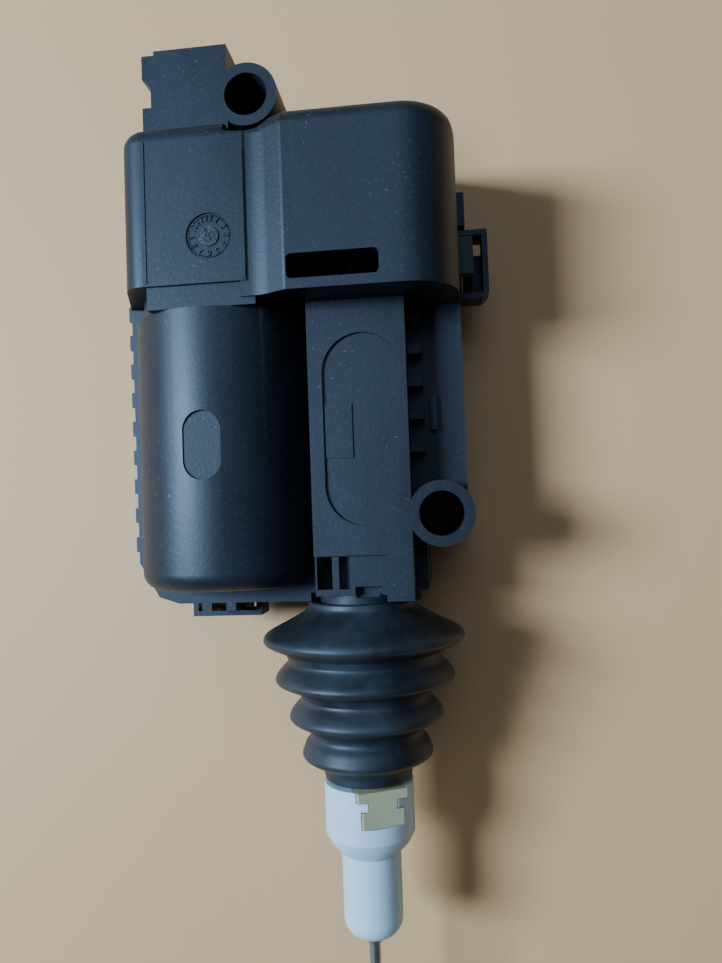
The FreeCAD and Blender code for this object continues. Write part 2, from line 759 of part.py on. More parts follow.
# Windows in the neck block.
for window_left, window_right, floor in (("-6.4", "-3.9", "2.6"), ("-2.8", "-1.0", "6.3")):
    pad_up(cover_holes, box_sketch("-plunger_offset + " + window_left, "-plunger_offset + " + window_right,
                "-neck_face + 1.0", "-plate_front - 0.2"), top + floor, top + "plate_rise + 1")
pad_up(cover_holes, box_sketch("-plunger_offset - 0.2", "-plunger_offset + 4.2", "-neck_face - 0.5",
            "-neck_face + 1.4"), top + "6.3", top + "plate_rise + 1")

# Bores through the bosses.
for bore_x, bore_y in (("0", "0"), ("-rear_bore_left", "rear_bore_back")):
    pad_up(cover_holes, ring_sketch(bore_x, bore_y, "bore_diameter / 2"),
           "axis_height - socket_drop - 1", top + "20")

# Shallow marks in the top faces, the slot and the window of the dome.


def stadium(left, right, front, rear):
    """Sketch filler: upright oblong with round ends."""
    radius = "((%s) - (%s)) / 2" % (right, left)
    middle = "((%s) + (%s)) / 2" % (right, left)
    return lambda sketch: outline(sketch, [
        (left, "(%s) + %s" % (front, radius)),
        (middle, front, radius),
        (right, "(%s) + %s" % (front, radius), radius),
        (right, "(%s) - %s" % (rear, radius)),
        (middle, rear, radius),
        (left, "(%s) - %s" % (rear, radius), radius),
    ])


pad_up(cover_holes, stadium("-plunger_offset - plate_recess_left", "-plunger_offset + plate_recess_right",
            "plate_recess_front", "plate_recess_rear"), top + "plate_rise - plate_recess_depth",
            top + "plate_rise + 1")
mark_sketch = new_sketch(cover_holes, "XY_Plane", top + "plate_rise - plate_recess_depth + plate_mark_rise")
rectangle(mark_sketch, "-plunger_offset - plate_recess_left + plate_mark_gap",
          "-plunger_offset + plate_mark_right", "plate_mark_front", "plate_mark_rear")
plate_mark = cover_holes.newObject("PartDesign::Pocket", "plate_mark")
plate_mark.Profile = mark_sketch
bind(plate_mark, "Length", "plate_mark_rise + 0.1")
doc.recompute()
pad_up(cover_holes, lambda sketch: outline(sketch, [
    ("-plunger_offset - dome_slot_left + dome_slot_round", "dome_slot_front"),
    ("-plunger_offset + dome_slot_right - dome_slot_round", "dome_slot_front"),
    ("-plunger_offset + dome_slot_right", "dome_slot_front + dome_slot_round", "dome_slot_round"),
    ("-plunger_offset + dome_slot_right", "dome_slot_front + dome_slot_length - dome_slot_round"),
    ("-plunger_offset + dome_slot_right - dome_slot_round", "dome_slot_front + dome_slot_length",
     "dome_slot_round"),
    ("-plunger_offset - dome_slot_left + dome_slot_round", "dome_slot_front + dome_slot_length"),
    ("-plunger_offset - dome_slot_left", "dome_slot_front + dome_slot_length - dome_slot_round",
     "dome_slot_round"),
    ("-plunger_offset - dome_slot_left", "dome_slot_front + dome_slot_round"),
    ("-plunger_offset - dome_slot_left + dome_slot_round", "dome_slot_front", "dome_slot_round"),
][1:]), top + "dome_rise - housing_wall - 1", top + "dome_rise + 1")
pad_up(cover_holes, stadium("-oval_left", "-oval_right", "oval_front", "oval_rear"),
       top + "barrel_radius - oval_depth", top + "barrel_radius + 1")
pad_up(cover_holes, ring_sketch("-dial_left", "dial_back", "dial_radius"), top + "box_rise - dial_depth",
            top + "box_rise + 1")
side_window = new_sketch(cover_holes, "YZ_Plane", "-plunger_offset + dome_half_width - dome_window_depth")
rectangle(side_window, "dome_window_front", "dome_window_front + dome_window_length",
          top + "dome_window_low", top + "dome_window_low + dome_window_height")
pad(cover_holes, side_window, "dome_window_depth + 1")

# Right deck: cross ribs beside the plate and one upright rib.
deck_rib = pad_up(cover_details, box_sketch("-plunger_offset + plate_right - 0.2",
                  "-plunger_offset + plate_right + deck_rib_reach",
                  "deck_rib_first - deck_rib_thickness / 2", "deck_rib_first + deck_rib_thickness / 2"),
                  "axis_height + 1", top + "deck_rib_rise")
deck_ribs = cover_details.newObject("PartDesign::LinearPattern", "deck_ribs")
deck_ribs.Originals = [deck_rib]
deck_ribs.Direction = (deck_rib.Profile[0], ["V_Axis"])
bind(deck_ribs, "Length", "deck_rib_pitch * (deck_rib_count - 1)")
bind(deck_ribs, "Occurrences", "deck_rib_count")
cover_details.Tip = deck_ribs
doc.recompute()
pad_up(cover_details, box_sketch("-1.3", "-0.3", "14", "19.6"), "axis_height + 1", top + "3.2")

# Hooks that snap through the base's loops, at the right side and at the front.
side_hook_middle = "(side_loop_front + side_loop_length / 2)"
side_hook = (side_hook_middle + " - side_hook_width / 2", side_hook_middle + " + side_hook_width / 2")
pad_up(cover_details, box_sketch("right_edge - 1", "right_edge + 1 + hook_thickness", *side_hook),
       "axis_height", top + "flange_rise")
pad_up(cover_details, box_sketch("right_edge + 1", "right_edge + 1 + hook_thickness", *side_hook),
       "loop_bottom - 2", "axis_height + 0.5")
pad_up(cover_details, box_sketch("right_edge + 1", "right_edge + side_loop_reach - 0.4", *side_hook),
       "loop_bottom - 2", "loop_bottom - static_gap")
for side in "-+":
    low = "-front_loop_left + (front_loop_length - front_hook_width %s front_hook_spacing) / 2" % side
    high = low + " + front_hook_width"
    pad_up(cover_details, box_sketch(low, high, "-front_edge - 1.4", "-front_edge + 1"), "axis_height",
           top + "flange_rise")
    pad_up(cover_details, box_sketch(low, high, "-front_edge - 1.4", "-front_edge - 0.2"),
           "loop_bottom - 2", "axis_height + 0.5")
    pad_up(cover_details, box_sketch(low, high, "-front_edge - 2.2", "-front_edge - 0.2"),
           "loop_bottom - 2", "loop_bottom - static_gap")

cover_outside = cover_forms
for form in (cover_barrel, cover_box, cover_dome):
    cover_outside = boolean("Fuse", "cover_outside", cover_outside, form)
cover = shell("cover_shell", cover_outside, cover_bays, cover_details, cover_holes)

# Base shell: the tray below the parting plane.
base_forms = new_body("base_forms")
base_bays = new_body("base_bays")
base_details = new_body("base_details")
base_holes = new_body("base_holes")
pad_up(base_forms, plan("0"), "0", "axis_height")
side_ribs(base_forms, "0", "axis_height")
for boss_x, boss_y in (("0", "0"), ("-rear_bore_left", "rear_bore_back")):
    pad_up(base_forms, ring_sketch(boss_x, boss_y, "boss_diameter / 2"), "0", "axis_height")

# Bays of the base: motor, drive nut, gears and the lightened right side.
pad_back(base_bays, ring_sketch(motor_x, "axis_height", "barrel_radius - housing_wall"),
            "-barrel_front + housing_wall", "bay_front - bulkhead")
pad_up(base_bays, box_sketch("-plunger_offset - channel_half", "-plunger_offset + channel_half",
            "-channel_front", "channel_rear"), "axis_height - channel_depth", "axis_height")
pad_up(base_bays, box_sketch("-left_front + housing_wall", "right_edge - housing_wall", "bay_front", "bay_rear"),
            "floor_wall", "axis_height")
pad_up(base_bays, box_sketch("-plunger_offset - 6.2", "-plunger_offset + channel_half",
            "channel_rear + 2", "bay_front + 1"), "axis_height - 6", "axis_height")
pad_up(base_bays, box_sketch("-plunger_offset + channel_half + housing_wall", "right_edge - housing_wall",
            "7", "bay_front - housing_wall"), "floor_wall", "axis_height")
pad_back(base_bays, ring_sketch(motor_x, "axis_height", "cap_boss_radius + 0.5"),
            "bay_front - bulkhead - 0.5", "bay_front + 0.5")
pad_back(base_bays, ring_sketch(plunger_x, "axis_height", "screw_crest_radius + 0.6"),
            "channel_rear - 1", "channel_rear + 3")

# Bearing block, axle post and their seats.
pad_up(base_details, box_sketch("-plunger_offset - 5.5", "-plunger_offset + 5.5", "bearing_front",
       "bearing_front + bearing_length"), "floor_wall - 0.5", "axis_height")
pad_back(base_holes, ring_sketch(plunger_x, "axis_height", "bearing_radius + press_gap"),
            "bearing_front - 1", "bearing_front + bearing_length + 1")
axle_low = "(%s - axle_post_width / 2)" % axle_x
axle_high = "(%s + axle_post_width / 2)" % axle_x
pad_up(base_details, box_sketch(axle_low, axle_high, "axle_rear - axle_post_thickness", "axle_rear"),
       "floor_wall - 0.5", axle_z + " + axle_post_width / 2")
pad_back(base_holes, ring_sketch(axle_x, axle_z, "axle_radius + press_gap"),
            "bay_front - bulkhead + 0.8", "axle_rear + 1")

# Neck, plunger guide and bores.


def lower_half(radius):
    """Sketch filler: half disc below the parting plane on the plunger axis."""
    return lambda sketch: outline(sketch, [
        (plunger_x + " + " + radius, "axis_height", radius),
        (plunger_x + " - " + radius, "axis_height"),
        (plunger_x, "axis_height - " + radius, radius),
    ])


pad_back(base_details, lower_half("neck_radius"), "-neck_end", "-%s" % groove_front)
pad_back(base_details, lower_half("neck_groove_radius"), "-%s - 0.1" % groove_front, "-neck_face + 1")
pad_back(base_holes, ring_sketch(plunger_x, "axis_height", guide_radius), "-neck_end - 1",
         "-channel_front + 1")
for bore_x, bore_y in (("0", "0"), ("-rear_bore_left", "rear_bore_back")):
    pad_up(base_holes, ring_sketch(bore_x, bore_y, "bore_diameter / 2"), "-1", "axis_height + 1")

pad_up(base_holes, box_sketch("-rear_bore_left - boss_diameter", "-socket_left + socket_width + static_gap",
       "box_rear + 0.1", "rear_bore_back + boss_diameter"), "axis_height - socket_drop - static_gap",
       "axis_height + 1")

# Snap loops: frames that the cover's hooks pass through, and the upright rib behind the side one.
loop_inner_side = "right_edge + side_loop_reach - loop_wall"
pad_up(base_details, lambda sketch: outline(sketch, [
    ("right_edge - 1", "side_loop_front"),
    ("right_edge + side_loop_reach - loop_chamfer", "side_loop_front"),
    ("right_edge + side_loop_reach", "side_loop_front + loop_chamfer"),
    ("right_edge + side_loop_reach", "side_loop_front + side_loop_length"),
    ("right_edge - 1", "side_loop_front + side_loop_length"),
]), "loop_bottom", "loop_top")
pad_up(base_holes, box_sketch("right_edge + 0.5", loop_inner_side, "side_loop_front + loop_wall",
            "side_loop_front + side_loop_length - loop_wall"), "loop_bottom - 1", "loop_top + 1")
pad_up(base_details, box_sketch("-front_loop_left", "-front_loop_left + front_loop_length",
       "-front_edge - front_loop_reach", "-front_edge + 1"), "loop_bottom", "loop_top")
pad_up(base_holes, box_sketch("-front_loop_left + loop_wall",
       "-front_loop_left + front_loop_length - loop_wall", "-front_edge - front_loop_reach + 0.9",
       "-front_edge + 0.1"), "loop_bottom - 1", "loop_top + 1")
side_rib_front = "(side_loop_front + side_loop_length + 0.8)"
pad_up(base_details, box_sketch("right_edge - 0.5", "right_edge + 1.5", side_rib_front,
       side_rib_front + " + 6"), "4", "axis_height - 3")

base = shell("base_shell", base_forms, base_bays, base_details, base_holes)

# Motor: deep drawn can with a bush boss, plastic end cap, sintered bushes.
turned("motor_can", [[
    ("shaft_radius + bush_wall", "-can_front - can_boss_length"),
    ("can_boss_radius", "-can_front - can_boss_length"),
    ("can_boss_radius", "-can_front"),
    ("can_radius - 1.6", "-can_front"),
    ("can_radius", "-can_front + 1.6", "1.6"),
    ("can_radius", "can_rear"),
    ("can_radius - can_wall", "can_rear"),
    ("can_radius - can_wall", "-can_front + can_wall"),
    ("shaft_radius + bush_wall", "-can_front + can_wall"),
]], motor_x)
turned("motor_end_cap", [[
    ("shaft_radius + bush_wall", "can_rear"),
    ("can_radius - 0.5", "can_rear"),
    ("can_radius - 0.5", "can_rear + cap_thickness - 0.8"),
    ("can_radius - 1.3", "can_rear + cap_thickness"),
    ("cap_boss_radius", "can_rear + cap_thickness"),
    ("cap_boss_radius", "can_rear + cap_thickness + cap_boss_length"),
    ("shaft_radius + bush_wall", "can_rear + cap_thickness + cap_boss_length"),
]], motor_x)
bush_section = ("shaft_radius + running_gap", "shaft_radius + bush_wall")
turned("motor_front_bush", [tube_section(*bush_section, "-can_front - can_boss_length",
       "-can_front + can_wall")], motor_x)
turned("motor_rear_bush", [tube_section(*bush_section, "can_rear",
       "can_rear + cap_thickness + cap_boss_length")], motor_x)
turned("motor_cushion", [tube_section("can_boss_radius + static_gap", "can_radius - 3",
       "-barrel_front + housing_wall + 0.1", "-can_front - 0.1")], motor_x)

magnets = new_body("motor_magnets", x=motor_x, z="axis_height")
for side in ("", "-"):
    shoe_sketch = outline(new_sketch(magnets, "XY_Plane"), tube_section(
        side + "(can_radius - can_wall - magnet_thickness)", side + "(can_radius - can_wall - 0.02)",
        "magnet_front", "magnet_front + magnet_length"))
    shoe = magnets.newObject("PartDesign::Revolution", "shoe")
    shoe.Profile = shoe_sketch
    shoe.ReferenceAxis = (shoe_sketch, ["V_Axis"])
    bind(shoe, "Angle", "magnet_angle")
    shoe.Midplane = True
    doc.recompute()

carbon = new_body("carbon_brushes", x=motor_x, z="axis_height")
arms = new_body("brush_arms", x=motor_x, z="axis_height")
for side in ("", "-"):
    faces = [side + "(commutator_radius + 0.05)", side + "(commutator_radius + brush_reach)"]
    pad_back(carbon, box_sketch(*faces, "-brush_width / 2", "brush_width / 2"), "commutator_front + 0.8",
             "commutator_front + 3.8")
    faces = [side + "(commutator_radius + brush_reach)", side + "(commutator_radius + brush_reach + 0.4)"]
    pad_back(arms, box_sketch(*faces, "-brush_width / 2", "brush_width / 2"), "commutator_front + 0.8",
             "can_rear")

# Armature: laminated core with open slots, copper end turns, commutator and shaft.
core = new_body("armature_core", x=motor_x, z="axis_height")
turn(core, tube_section("shaft_radius", "core_radius", "core_front", "core_front + core_length"))
core_slot = new_sketch(core, "XZ_Plane", "-core_front")
outline(core_slot, [("3.2", "-0.9"), ("core_radius - 1.2", "-2.4"), ("core_radius - 1.2", "-0.6"),
                    ("core_radius + 1", "-0.6"), ("core_radius + 1", "0.6"), ("core_radius - 1.2", "0.6"),
                    ("core_radius - 1.2", "2.4"), ("3.2", "0.9")])
slot = core.newObject("PartDesign::Pocket", "slot")
slot.Profile = core_slot
bind(slot, "Length", "core_length")
doc.recompute()
slots = core.newObject("PartDesign::PolarPattern", "slots")
slots.Originals = [slot]
slots.Axis = ([item for item in core.Origin.OriginFeatures if item.Role == "Y_Axis"][0], [""])
slots.Occurrences = 5
core.Tip = slots
doc.recompute()
turned("armature_windings", [
    [("shaft_radius + 0.6", "core_front - winding_overhang"),
     ("winding_radius - 1.5", "core_front - winding_overhang"),
     ("winding_radius", "core_front - winding_overhang + 1.5", "1.5"),
     ("winding_radius", "core_front"), ("shaft_radius + 0.6", "core_front")],
    [("shaft_radius + 0.6", "core_front + core_length"), ("winding_radius", "core_front + core_length"),
     ("winding_radius", "core_front + core_length + winding_overhang - 1.5"),
     ("winding_radius - 1.5", "core_front + core_length + winding_overhang", "1.5"),
     ("shaft_radius + 0.6", "core_front + core_length + winding_overhang")],
], motor_x)
turned("commutator", [[
    ("shaft_radius", "commutator_front - 1.2"), ("commutator_radius + 0.8", "commutator_front - 1.2"),
    ("commutator_radius + 0.8", "commutator_front"), ("commutator_radius", "commutator_front"),
    ("commutator_radius", "commutator_front + commutator_length"),
    ("shaft_radius", "commutator_front + commutator_length"),
]], motor_x)
turned("motor_shaft", [[
    ("0", "-can_front - can_boss_length + 0.4"), ("shaft_radius", "-can_front - can_boss_length + 0.4"),
    ("shaft_radius", "shaft_rear - 0.4"), ("shaft_radius - 0.4", "shaft_rear"), ("0", "shaft_rear"),
]], motor_x)

# Gear train. Tooth angles are about +Y from +X, so that the pairs stand in mesh.
span = number(cover_forms, axle_along)
drop = number(cover_forms, axle_drop)
motor_to_wheel = math.degrees(math.atan2(drop, place("motor_spacing") - span))
wheel_to_spindle = math.degrees(math.atan2(-drop, span))


def toothed(label, module, teeth, front, length, angle):
    """Ring of involute teeth from the front plane backwards, with a tooth at the given angle."""
    builder = fcgear.FCWireBuilder()
    involute.CreateExternalGear(builder, module, teeth, place("pressure_angle"), True,
                                shiftCoeff=place("tooth_shift"))
    profile = Part.Face(Part.Wire([curve.toShape() for curve in builder.wire]))
    ring_of_teeth = profile.extrude(FreeCAD.Vector(0, 0, length))
    ring_of_teeth.rotate(FreeCAD.Vector(), FreeCAD.Vector(1, 0, 0), -90)
    ring_of_teeth.rotate(FreeCAD.Vector(), FreeCAD.Vector(0, 1, 0), angle)
    feature = doc.addObject("Part::Feature", label)
    feature.Shape = ring_of_teeth
    feature.Placement.Base = FreeCAD.Vector(0, front, 0)
    return feature


def barrel(label, radius, front, rear):
    """Part cylinder along +Y between two places."""
    piece = doc.addObject("Part::Cylinder", label)
    bind(piece, "Radius", radius)
    bind(piece, "Height", "(%s) - (%s)" % (rear, front))
    piece.Placement = FreeCAD.Placement(FreeCAD.Vector(), FreeCAD.Rotation(FreeCAD.Vector(1, 0, 0), -90))
    bind(piece, "Placement.Base.y", front)
    doc.recompute()
    return piece


def gear(label, rings, hub, bore, x, z):
    """Toothed rings fused with a hub and cut by a bore, set on their axis."""
    body = rings[0]
    for other in rings[1:] + [hub]:
        body = boolean("Fuse", label + "_solid", body, other)
    piece = boolean("Cut", label, body, bore)
    bind(piece, "Placement.Base.x", x)
    bind(piece, "Placement.Base.z", z)
    doc.recompute()
    return piece


motor_pinion_end = "motor_pinion_front + motor_pinion_length"
gear("motor_pinion", [toothed("motor_pinion_teeth", place("fine_module"), int(place("motor_teeth")),
     place("motor_pinion_front"), place("motor_pinion_length"), motor_to_wheel)],
     barrel("motor_pinion_hub", "shaft_radius + 0.6", "motor_pinion_front - 1.2", motor_pinion_end),
     barrel("motor_pinion_bore", "shaft_radius + press_gap", "motor_pinion_front - 2",
            motor_pinion_end + " + 1"),
     motor_x, "axis_height")
pinion_front = "wheel_front + wheel_length"
wheel_teeth = toothed("wheel_ring", place("fine_module"), int(place("wheel_teeth")), place("wheel_front"),
                      place("wheel_length"), motor_to_wheel + 180 + 180 / place("wheel_teeth"))
pinion_teeth = toothed("pinion_ring", place("coarse_module"), int(place("pinion_teeth")),
                       place(pinion_front), place("pinion_length"), wheel_to_spindle)
gear("reduction_gear", [wheel_teeth, pinion_teeth],
     barrel("reduction_hub", "axle_radius + 1.1", "bay_front + seat_gap",
            "axle_rear - axle_post_thickness - seat_gap"),
     barrel("reduction_bore", "axle_radius + running_gap", "bay_front - 1", "axle_rear"), axle_x, axle_z)
spindle_gear_rear = "spindle_gear_front + spindle_gear_length"
gear("spindle_gear", [toothed("spindle_ring", place("coarse_module"), int(place("spindle_teeth")),
     place("spindle_gear_front"), place("spindle_gear_length"),
     wheel_to_spindle + 180 + 180 / place("spindle_teeth"))],
     barrel("spindle_hub", "hub_radius", "spindle_gear_front - hub_overhang",
            spindle_gear_rear + " + hub_overhang"),
     barrel("spindle_bore", "screw_core_radius + press_gap", "spindle_gear_front - 3",
            spindle_gear_rear + " + 3"),
     plunger_x, "axis_height")
turned("gear_axle", [[
    ("0", "bay_front - bulkhead + 1"), ("axle_radius", "bay_front - bulkhead + 1"),
    ("axle_radius", "axle_rear - 0.4"), ("axle_radius - 0.4", "axle_rear"), ("0", "axle_rear"),
]], axle_x, axle_z)

# Lead screw with its multiple-start thread, and the nut with the matching thread inside.


def thread(body, low, high, root, crest, root_radius, crest_radius, name):
    """Helical ridges: a trapezium of given widths wound between two places, once for each start."""
    profile = outline(new_sketch(body, "XY_Plane"), [
        (root_radius, "%s - %s / 2" % (low, root)), (crest_radius, "%s - %s / 2" % (low, crest)),
        (crest_radius, "%s + %s / 2" % (low, crest)), (root_radius, "%s + %s / 2" % (low, root)),
    ])
    winding = body.newObject("PartDesign::AdditiveHelix", name)
    winding.Profile = profile
    winding.ReferenceAxis = (profile, ["V_Axis"])
    winding.Mode = 0
    bind(winding, "Pitch", "screw_lead")
    bind(winding, "Height", "(%s) - (%s)" % (high, low))
    doc.recompute()
    starts = body.newObject("PartDesign::PolarPattern", name + "_starts")
    starts.Originals = [winding]
    starts.Axis = (profile, ["V_Axis"])
    bind(starts, "Occurrences", "screw_starts")
    body.Tip = starts
    doc.recompute()


screw = turned("lead_screw", [[
    ("0", "screw_front"), ("screw_core_radius - 0.6", "screw_front"),
    ("screw_core_radius", "screw_front + 0.6"), ("screw_core_radius", spindle_gear_rear + " + hub_overhang"),
    ("journal_radius", spindle_gear_rear + " + hub_overhang"), ("journal_radius", "journal_rear - 0.4"),
    ("journal_radius - 0.4", "journal_rear"), ("0", "journal_rear"),
]], plunger_x)
thread_low = "(screw_front + 2)"
thread(screw, thread_low, "thread_rear - thread_root_width / 2", "thread_root_width", "thread_crest_width",
       "screw_core_radius - 0.1", "screw_crest_radius", "thread")

nut = new_body("drive_nut", x=plunger_x, z="axis_height")
nut_half = "(channel_upper_half - static_gap)"
nut_wing = "(channel_half - static_gap)"
nut_sketch = new_sketch(nut, "XZ_Plane", "-nut_front")
wing_low = "-(static_gap + nut_wing_height)"
outline(nut_sketch, [
    ("-" + nut_half, "-" + nut_half), (nut_half, "-" + nut_half), (nut_half, wing_low),
    (nut_wing, wing_low), (nut_wing, "-static_gap"), (nut_half, "-static_gap"), (nut_half, nut_half),
    ("-" + nut_half, nut_half), ("-" + nut_half, "-static_gap"), ("-" + nut_wing, "-static_gap"),
    ("-" + nut_wing, wing_low), ("-" + nut_half, wing_low),
])
ring(nut_sketch, "0", "0", "screw_crest_radius + thread_gap")
pad(nut, nut_sketch, "nut_length", reverse=True)
round_edges(nut, "nut_round", lambda edge: abs(edge.BoundBox.YLength - place("nut_length")) < 0.01
            and abs(abs(edge.BoundBox.ZMax) - place(nut_half)) < 0.01 and edge.BoundBox.ZLength < 0.01)
turn(nut, [("0", "nut_front - 1"), ("spigot_radius + press_gap", "nut_front - 1"),
           ("spigot_radius + press_gap", "nut_front + spigot_length"),
           ("0", "nut_front + spigot_length")], "Groove")
nut_pitch = "(screw_lead / screw_starts)"
nut_thread_low = "(%s + %s * 1.5)" % (thread_low, nut_pitch)
thread(nut, nut_thread_low, "nut_front + nut_length - 1.4",
       "(%s - thread_crest_width - 2 * thread_gap)" % nut_pitch,
       "(%s - thread_root_width - 2 * thread_gap)" % nut_pitch,
       "screw_crest_radius + thread_gap + 0.2", "screw_core_radius + thread_gap", "thread")

# Plunger with its bayonet lug, and the adaptor that hooks over it and holds the rod.
plunger_tube = turned("plunger_tube", [[
    ("plunger_bore", "nut_front + spigot_length"), ("spigot_radius", "nut_front + spigot_length"),
    ("spigot_radius", "nut_front"), ("plunger_radius", "nut_front"),
    ("plunger_radius", "-plunger_front + 0.8"), ("plunger_radius - 0.8", "-plunger_front"),
    ("0", "-plunger_front"), ("0", "-plunger_bore_front - 1.5"), ("plunger_bore", "-plunger_bore_front"),
]], plunger_x)


def bayonet(label, play, low, high, rear):
    """I-shaped block along the plunger, leaned over by the lug's angle."""
    block = new_body(label, x=plunger_x, z="axis_height")
    block.Placement.Rotation = FreeCAD.Rotation(FreeCAD.Vector(0, 1, 0), place("lug_angle"))
    bind(block, "Placement.Rotation.Angle", "lug_angle")
    neck = "(lug_neck_width / 2 + %s)" % play
    head = "(lug_head_width / 2 + %s)" % play
    flare = "(lug_flare_width / 2 + %s)" % play
    step = "-lug_neck_end + " + play
    flare_step = "-lug_flare_end - " + play
    pad_up(block, lambda sketch: outline(sketch, [
        ("-" + head, "-lug_head_end - " + play), (head, "-lug_head_end - " + play), (head, step),
        (neck, step), (neck, flare_step), (flare, flare_step), (flare, rear), ("-" + flare, rear),
        ("-" + flare, flare_step), ("-" + neck, flare_step), ("-" + neck, step), ("-" + head, step),
    ]), low, high)
    return block


lug = bayonet("plunger_lug", "0", "plunger_radius - 1.5", "lug_radius", "-adaptor_rear")
plunger = boolean("Fuse", "plunger", plunger_tube, lug)
adaptor_turned = turned("adaptor_turned", [[
    ("plunger_radius + press_gap", "-adaptor_rear"), ("adaptor_radius", "-adaptor_rear"),
    ("adaptor_radius", "-shoulder_rear"), ("adaptor_radius - 0.9", "-shoulder_rear - 1.6"),
    ("adaptor_neck_radius", "-shoulder_front"),
    ("adaptor_neck_radius", "-adaptor_front + adaptor_nose_round"),
    ("adaptor_neck_radius - adaptor_nose_round", "-adaptor_front", "adaptor_nose_round", "cw"),
    ("rod_root_radius + press_gap", "-adaptor_front"), ("rod_root_radius + press_gap", "-rod_rear"),
    ("0", "-rod_rear"), ("0", "-adaptor_bore_end"), ("plunger_radius + press_gap", "-adaptor_bore_end"),
]], plunger_x)
slot_block = bayonet("adaptor_slot", "0.15", "plunger_radius - 1.8", "adaptor_radius + 1",
                     "-adaptor_rear + 1")
adaptor = boolean("Cut", "rod_adaptor", adaptor_turned, slot_block)
turned("lock_rod", [[
    ("0", "-rod_rear - 0.2"), ("rod_root_radius", "-rod_rear - 0.2"), ("rod_root_radius", "-rod_root_end"),
    ("rod_radius", "-rod_root_end - (rod_root_radius - rod_radius)"),
    ("rod_radius", "-rod_front + rod_radius"),
    ("0", "-rod_front", "rod_radius", "cw"),
]], plunger_x)

# Rubber bellows between the neck's groove and the plunger, and the two end stops.
crests = ["crest_one", "crest_two", "crest_three", "crest_four"]
outer = [("neck_groove_radius + static_gap", "-neck_groove_rear - 0.2"),
         ("neck_groove_radius + static_gap", "-neck_groove_rear - neck_groove_length + 0.2"),
         ("neck_radius + static_gap", "-neck_groove_rear - neck_groove_length + 0.2"),
         ("neck_radius + static_gap", "-neck_end - 0.3")]
inner = []
skin = [("cuff_radius", "-cuff_front"), ("cuff_radius", "-cuff_rear")]


def fold(radius, middle, round_name, sign):
    """Two corners of a rounded fold, front and rear, with the arc between them."""
    drop = "(%s - sqrt(%s^2 - fold_half_width^2))" % (round_name, round_name)
    level = "%s %s %s" % (radius, sign, drop)
    turning = ("cw",) if sign == "+" else ()
    return [(level, middle + " - fold_half_width"),
            (level, middle + " + fold_half_width", round_name) + turning]


for index in reversed(range(len(crests))):
    middle = "-crest_one_front - %d * bellows_pitch" % index
    skin += fold(crests[index], middle, "crest_round", "-")
    if index:
        valley = "((%s + %s) / 2 - fold_depth)" % (crests[index - 1], crests[index])
        skin += fold(valley, middle + " + bellows_pitch / 2", "valley_round", "+")
for index in range(len(crests)):
    middle = "-crest_one_front - %d * bellows_pitch" % index
    if index:
        valley = "((%s + %s) / 2 - fold_depth)" % (crests[index - 1], crests[index])
        inner.append((valley + " - bellows_wall", middle + " + bellows_pitch / 2"))
    inner.append((crests[index] + " - 1.5 * bellows_wall", middle))
inner += [("plunger_radius + 0.1", "-cuff_rear"), ("plunger_radius + 0.1", "-cuff_front")]
skin += [("bellows_collar_radius", "-neck_end + 0.9"), ("bellows_collar_radius", "-neck_groove_rear - 0.2")]
turned("bellows", [outer + inner + skin], plunger_x)
bumpers = new_body("front_bumper", x=plunger_x, z="axis_height")
for side in ("", "-"):
    pad_back(bumpers, box_sketch(side + "(plunger_radius + 0.7)", side + nut_wing,
             "-(static_gap + nut_wing_height)", "-static_gap"), "-channel_front + 0.1",
             "-channel_front + 0.1 + bumper_length")
turned("rear_bumper", [tube_section("screw_crest_radius + 0.6", "bumper_radius",
       "channel_rear - 0.1 - bumper_length", "channel_rear - 0.1")], plunger_x)
turned("spindle_bush", [tube_section("journal_radius + running_gap", "bearing_radius", "bearing_front",
       "bearing_front + bearing_length")], plunger_x)
turned("thrust_washer", [tube_section("journal_radius + 0.1", "bearing_radius - 0.4",
       "bearing_front - static_gap - washer_thickness", "bearing_front - static_gap")], plunger_x)

# Contact strips: blade in the socket, along the roof of the box and down to the motor's end cap.
for label, pin in zip(("contact_strip_left", "contact_strip_right"), pins):
    strip = new_body(label)
    path = new_sketch(strip, "YZ_Plane", pin + " - strip_width / 2")
    climb = "bay_rear - 1.6"
    tail = "can_rear + cap_thickness + 0.3"
    foot = "axis_height + terminal_rise - 2"
    outline(path, [
        ("pin_tip", "pin_height"), ("pin_tip", "pin_height + strip_thickness"),
        (climb + " + strip_thickness", "pin_height + strip_thickness"),
        (climb + " + strip_thickness", "strip_height + strip_thickness"),
        (tail, "strip_height + strip_thickness"),
        (tail, foot), (tail + " + strip_thickness", foot), (tail + " + strip_thickness", "strip_height"),
        (climb, "strip_height"), (climb, "pin_height"),
    ])
    pad(strip, path, "strip_width")

# Check the document, then write each sub-part to its own file.
parts = [
    "base_shell", "cover_shell", "motor_can", "motor_end_cap", "motor_front_bush", "motor_rear_bush",
    "motor_cushion", "motor_magnets", "carbon_brushes", "brush_arms", "armature_core",
    "armature_windings", "commutator", "motor_shaft", "motor_pinion", "reduction_gear",
    "spindle_gear", "gear_axle", "lead_screw", "drive_nut", "plunger", "rod_adaptor", "lock_rod",
    "bellows", "front_bumper", "rear_bumper", "spindle_bush", "thrust_washer",
    "contact_strip_left", "contact_strip_right",
]
for item in doc.Objects:
    if "Invalid" in item.State or "Error" in item.State:
        raise RuntimeError("%s did not compute" % item.Label)
os.makedirs("parts", exist_ok=True)
for label in parts:
    shape = doc.getObjectsByLabel(label)[0].Shape
    if shape.isNull() or not shape.isValid():
        raise RuntimeError("%s has no valid shape" % label)
    shape.exportStep("parts/%s.step" % label)
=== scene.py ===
import json
import math

import bmesh
import bpy
from mathutils import Matrix, Vector


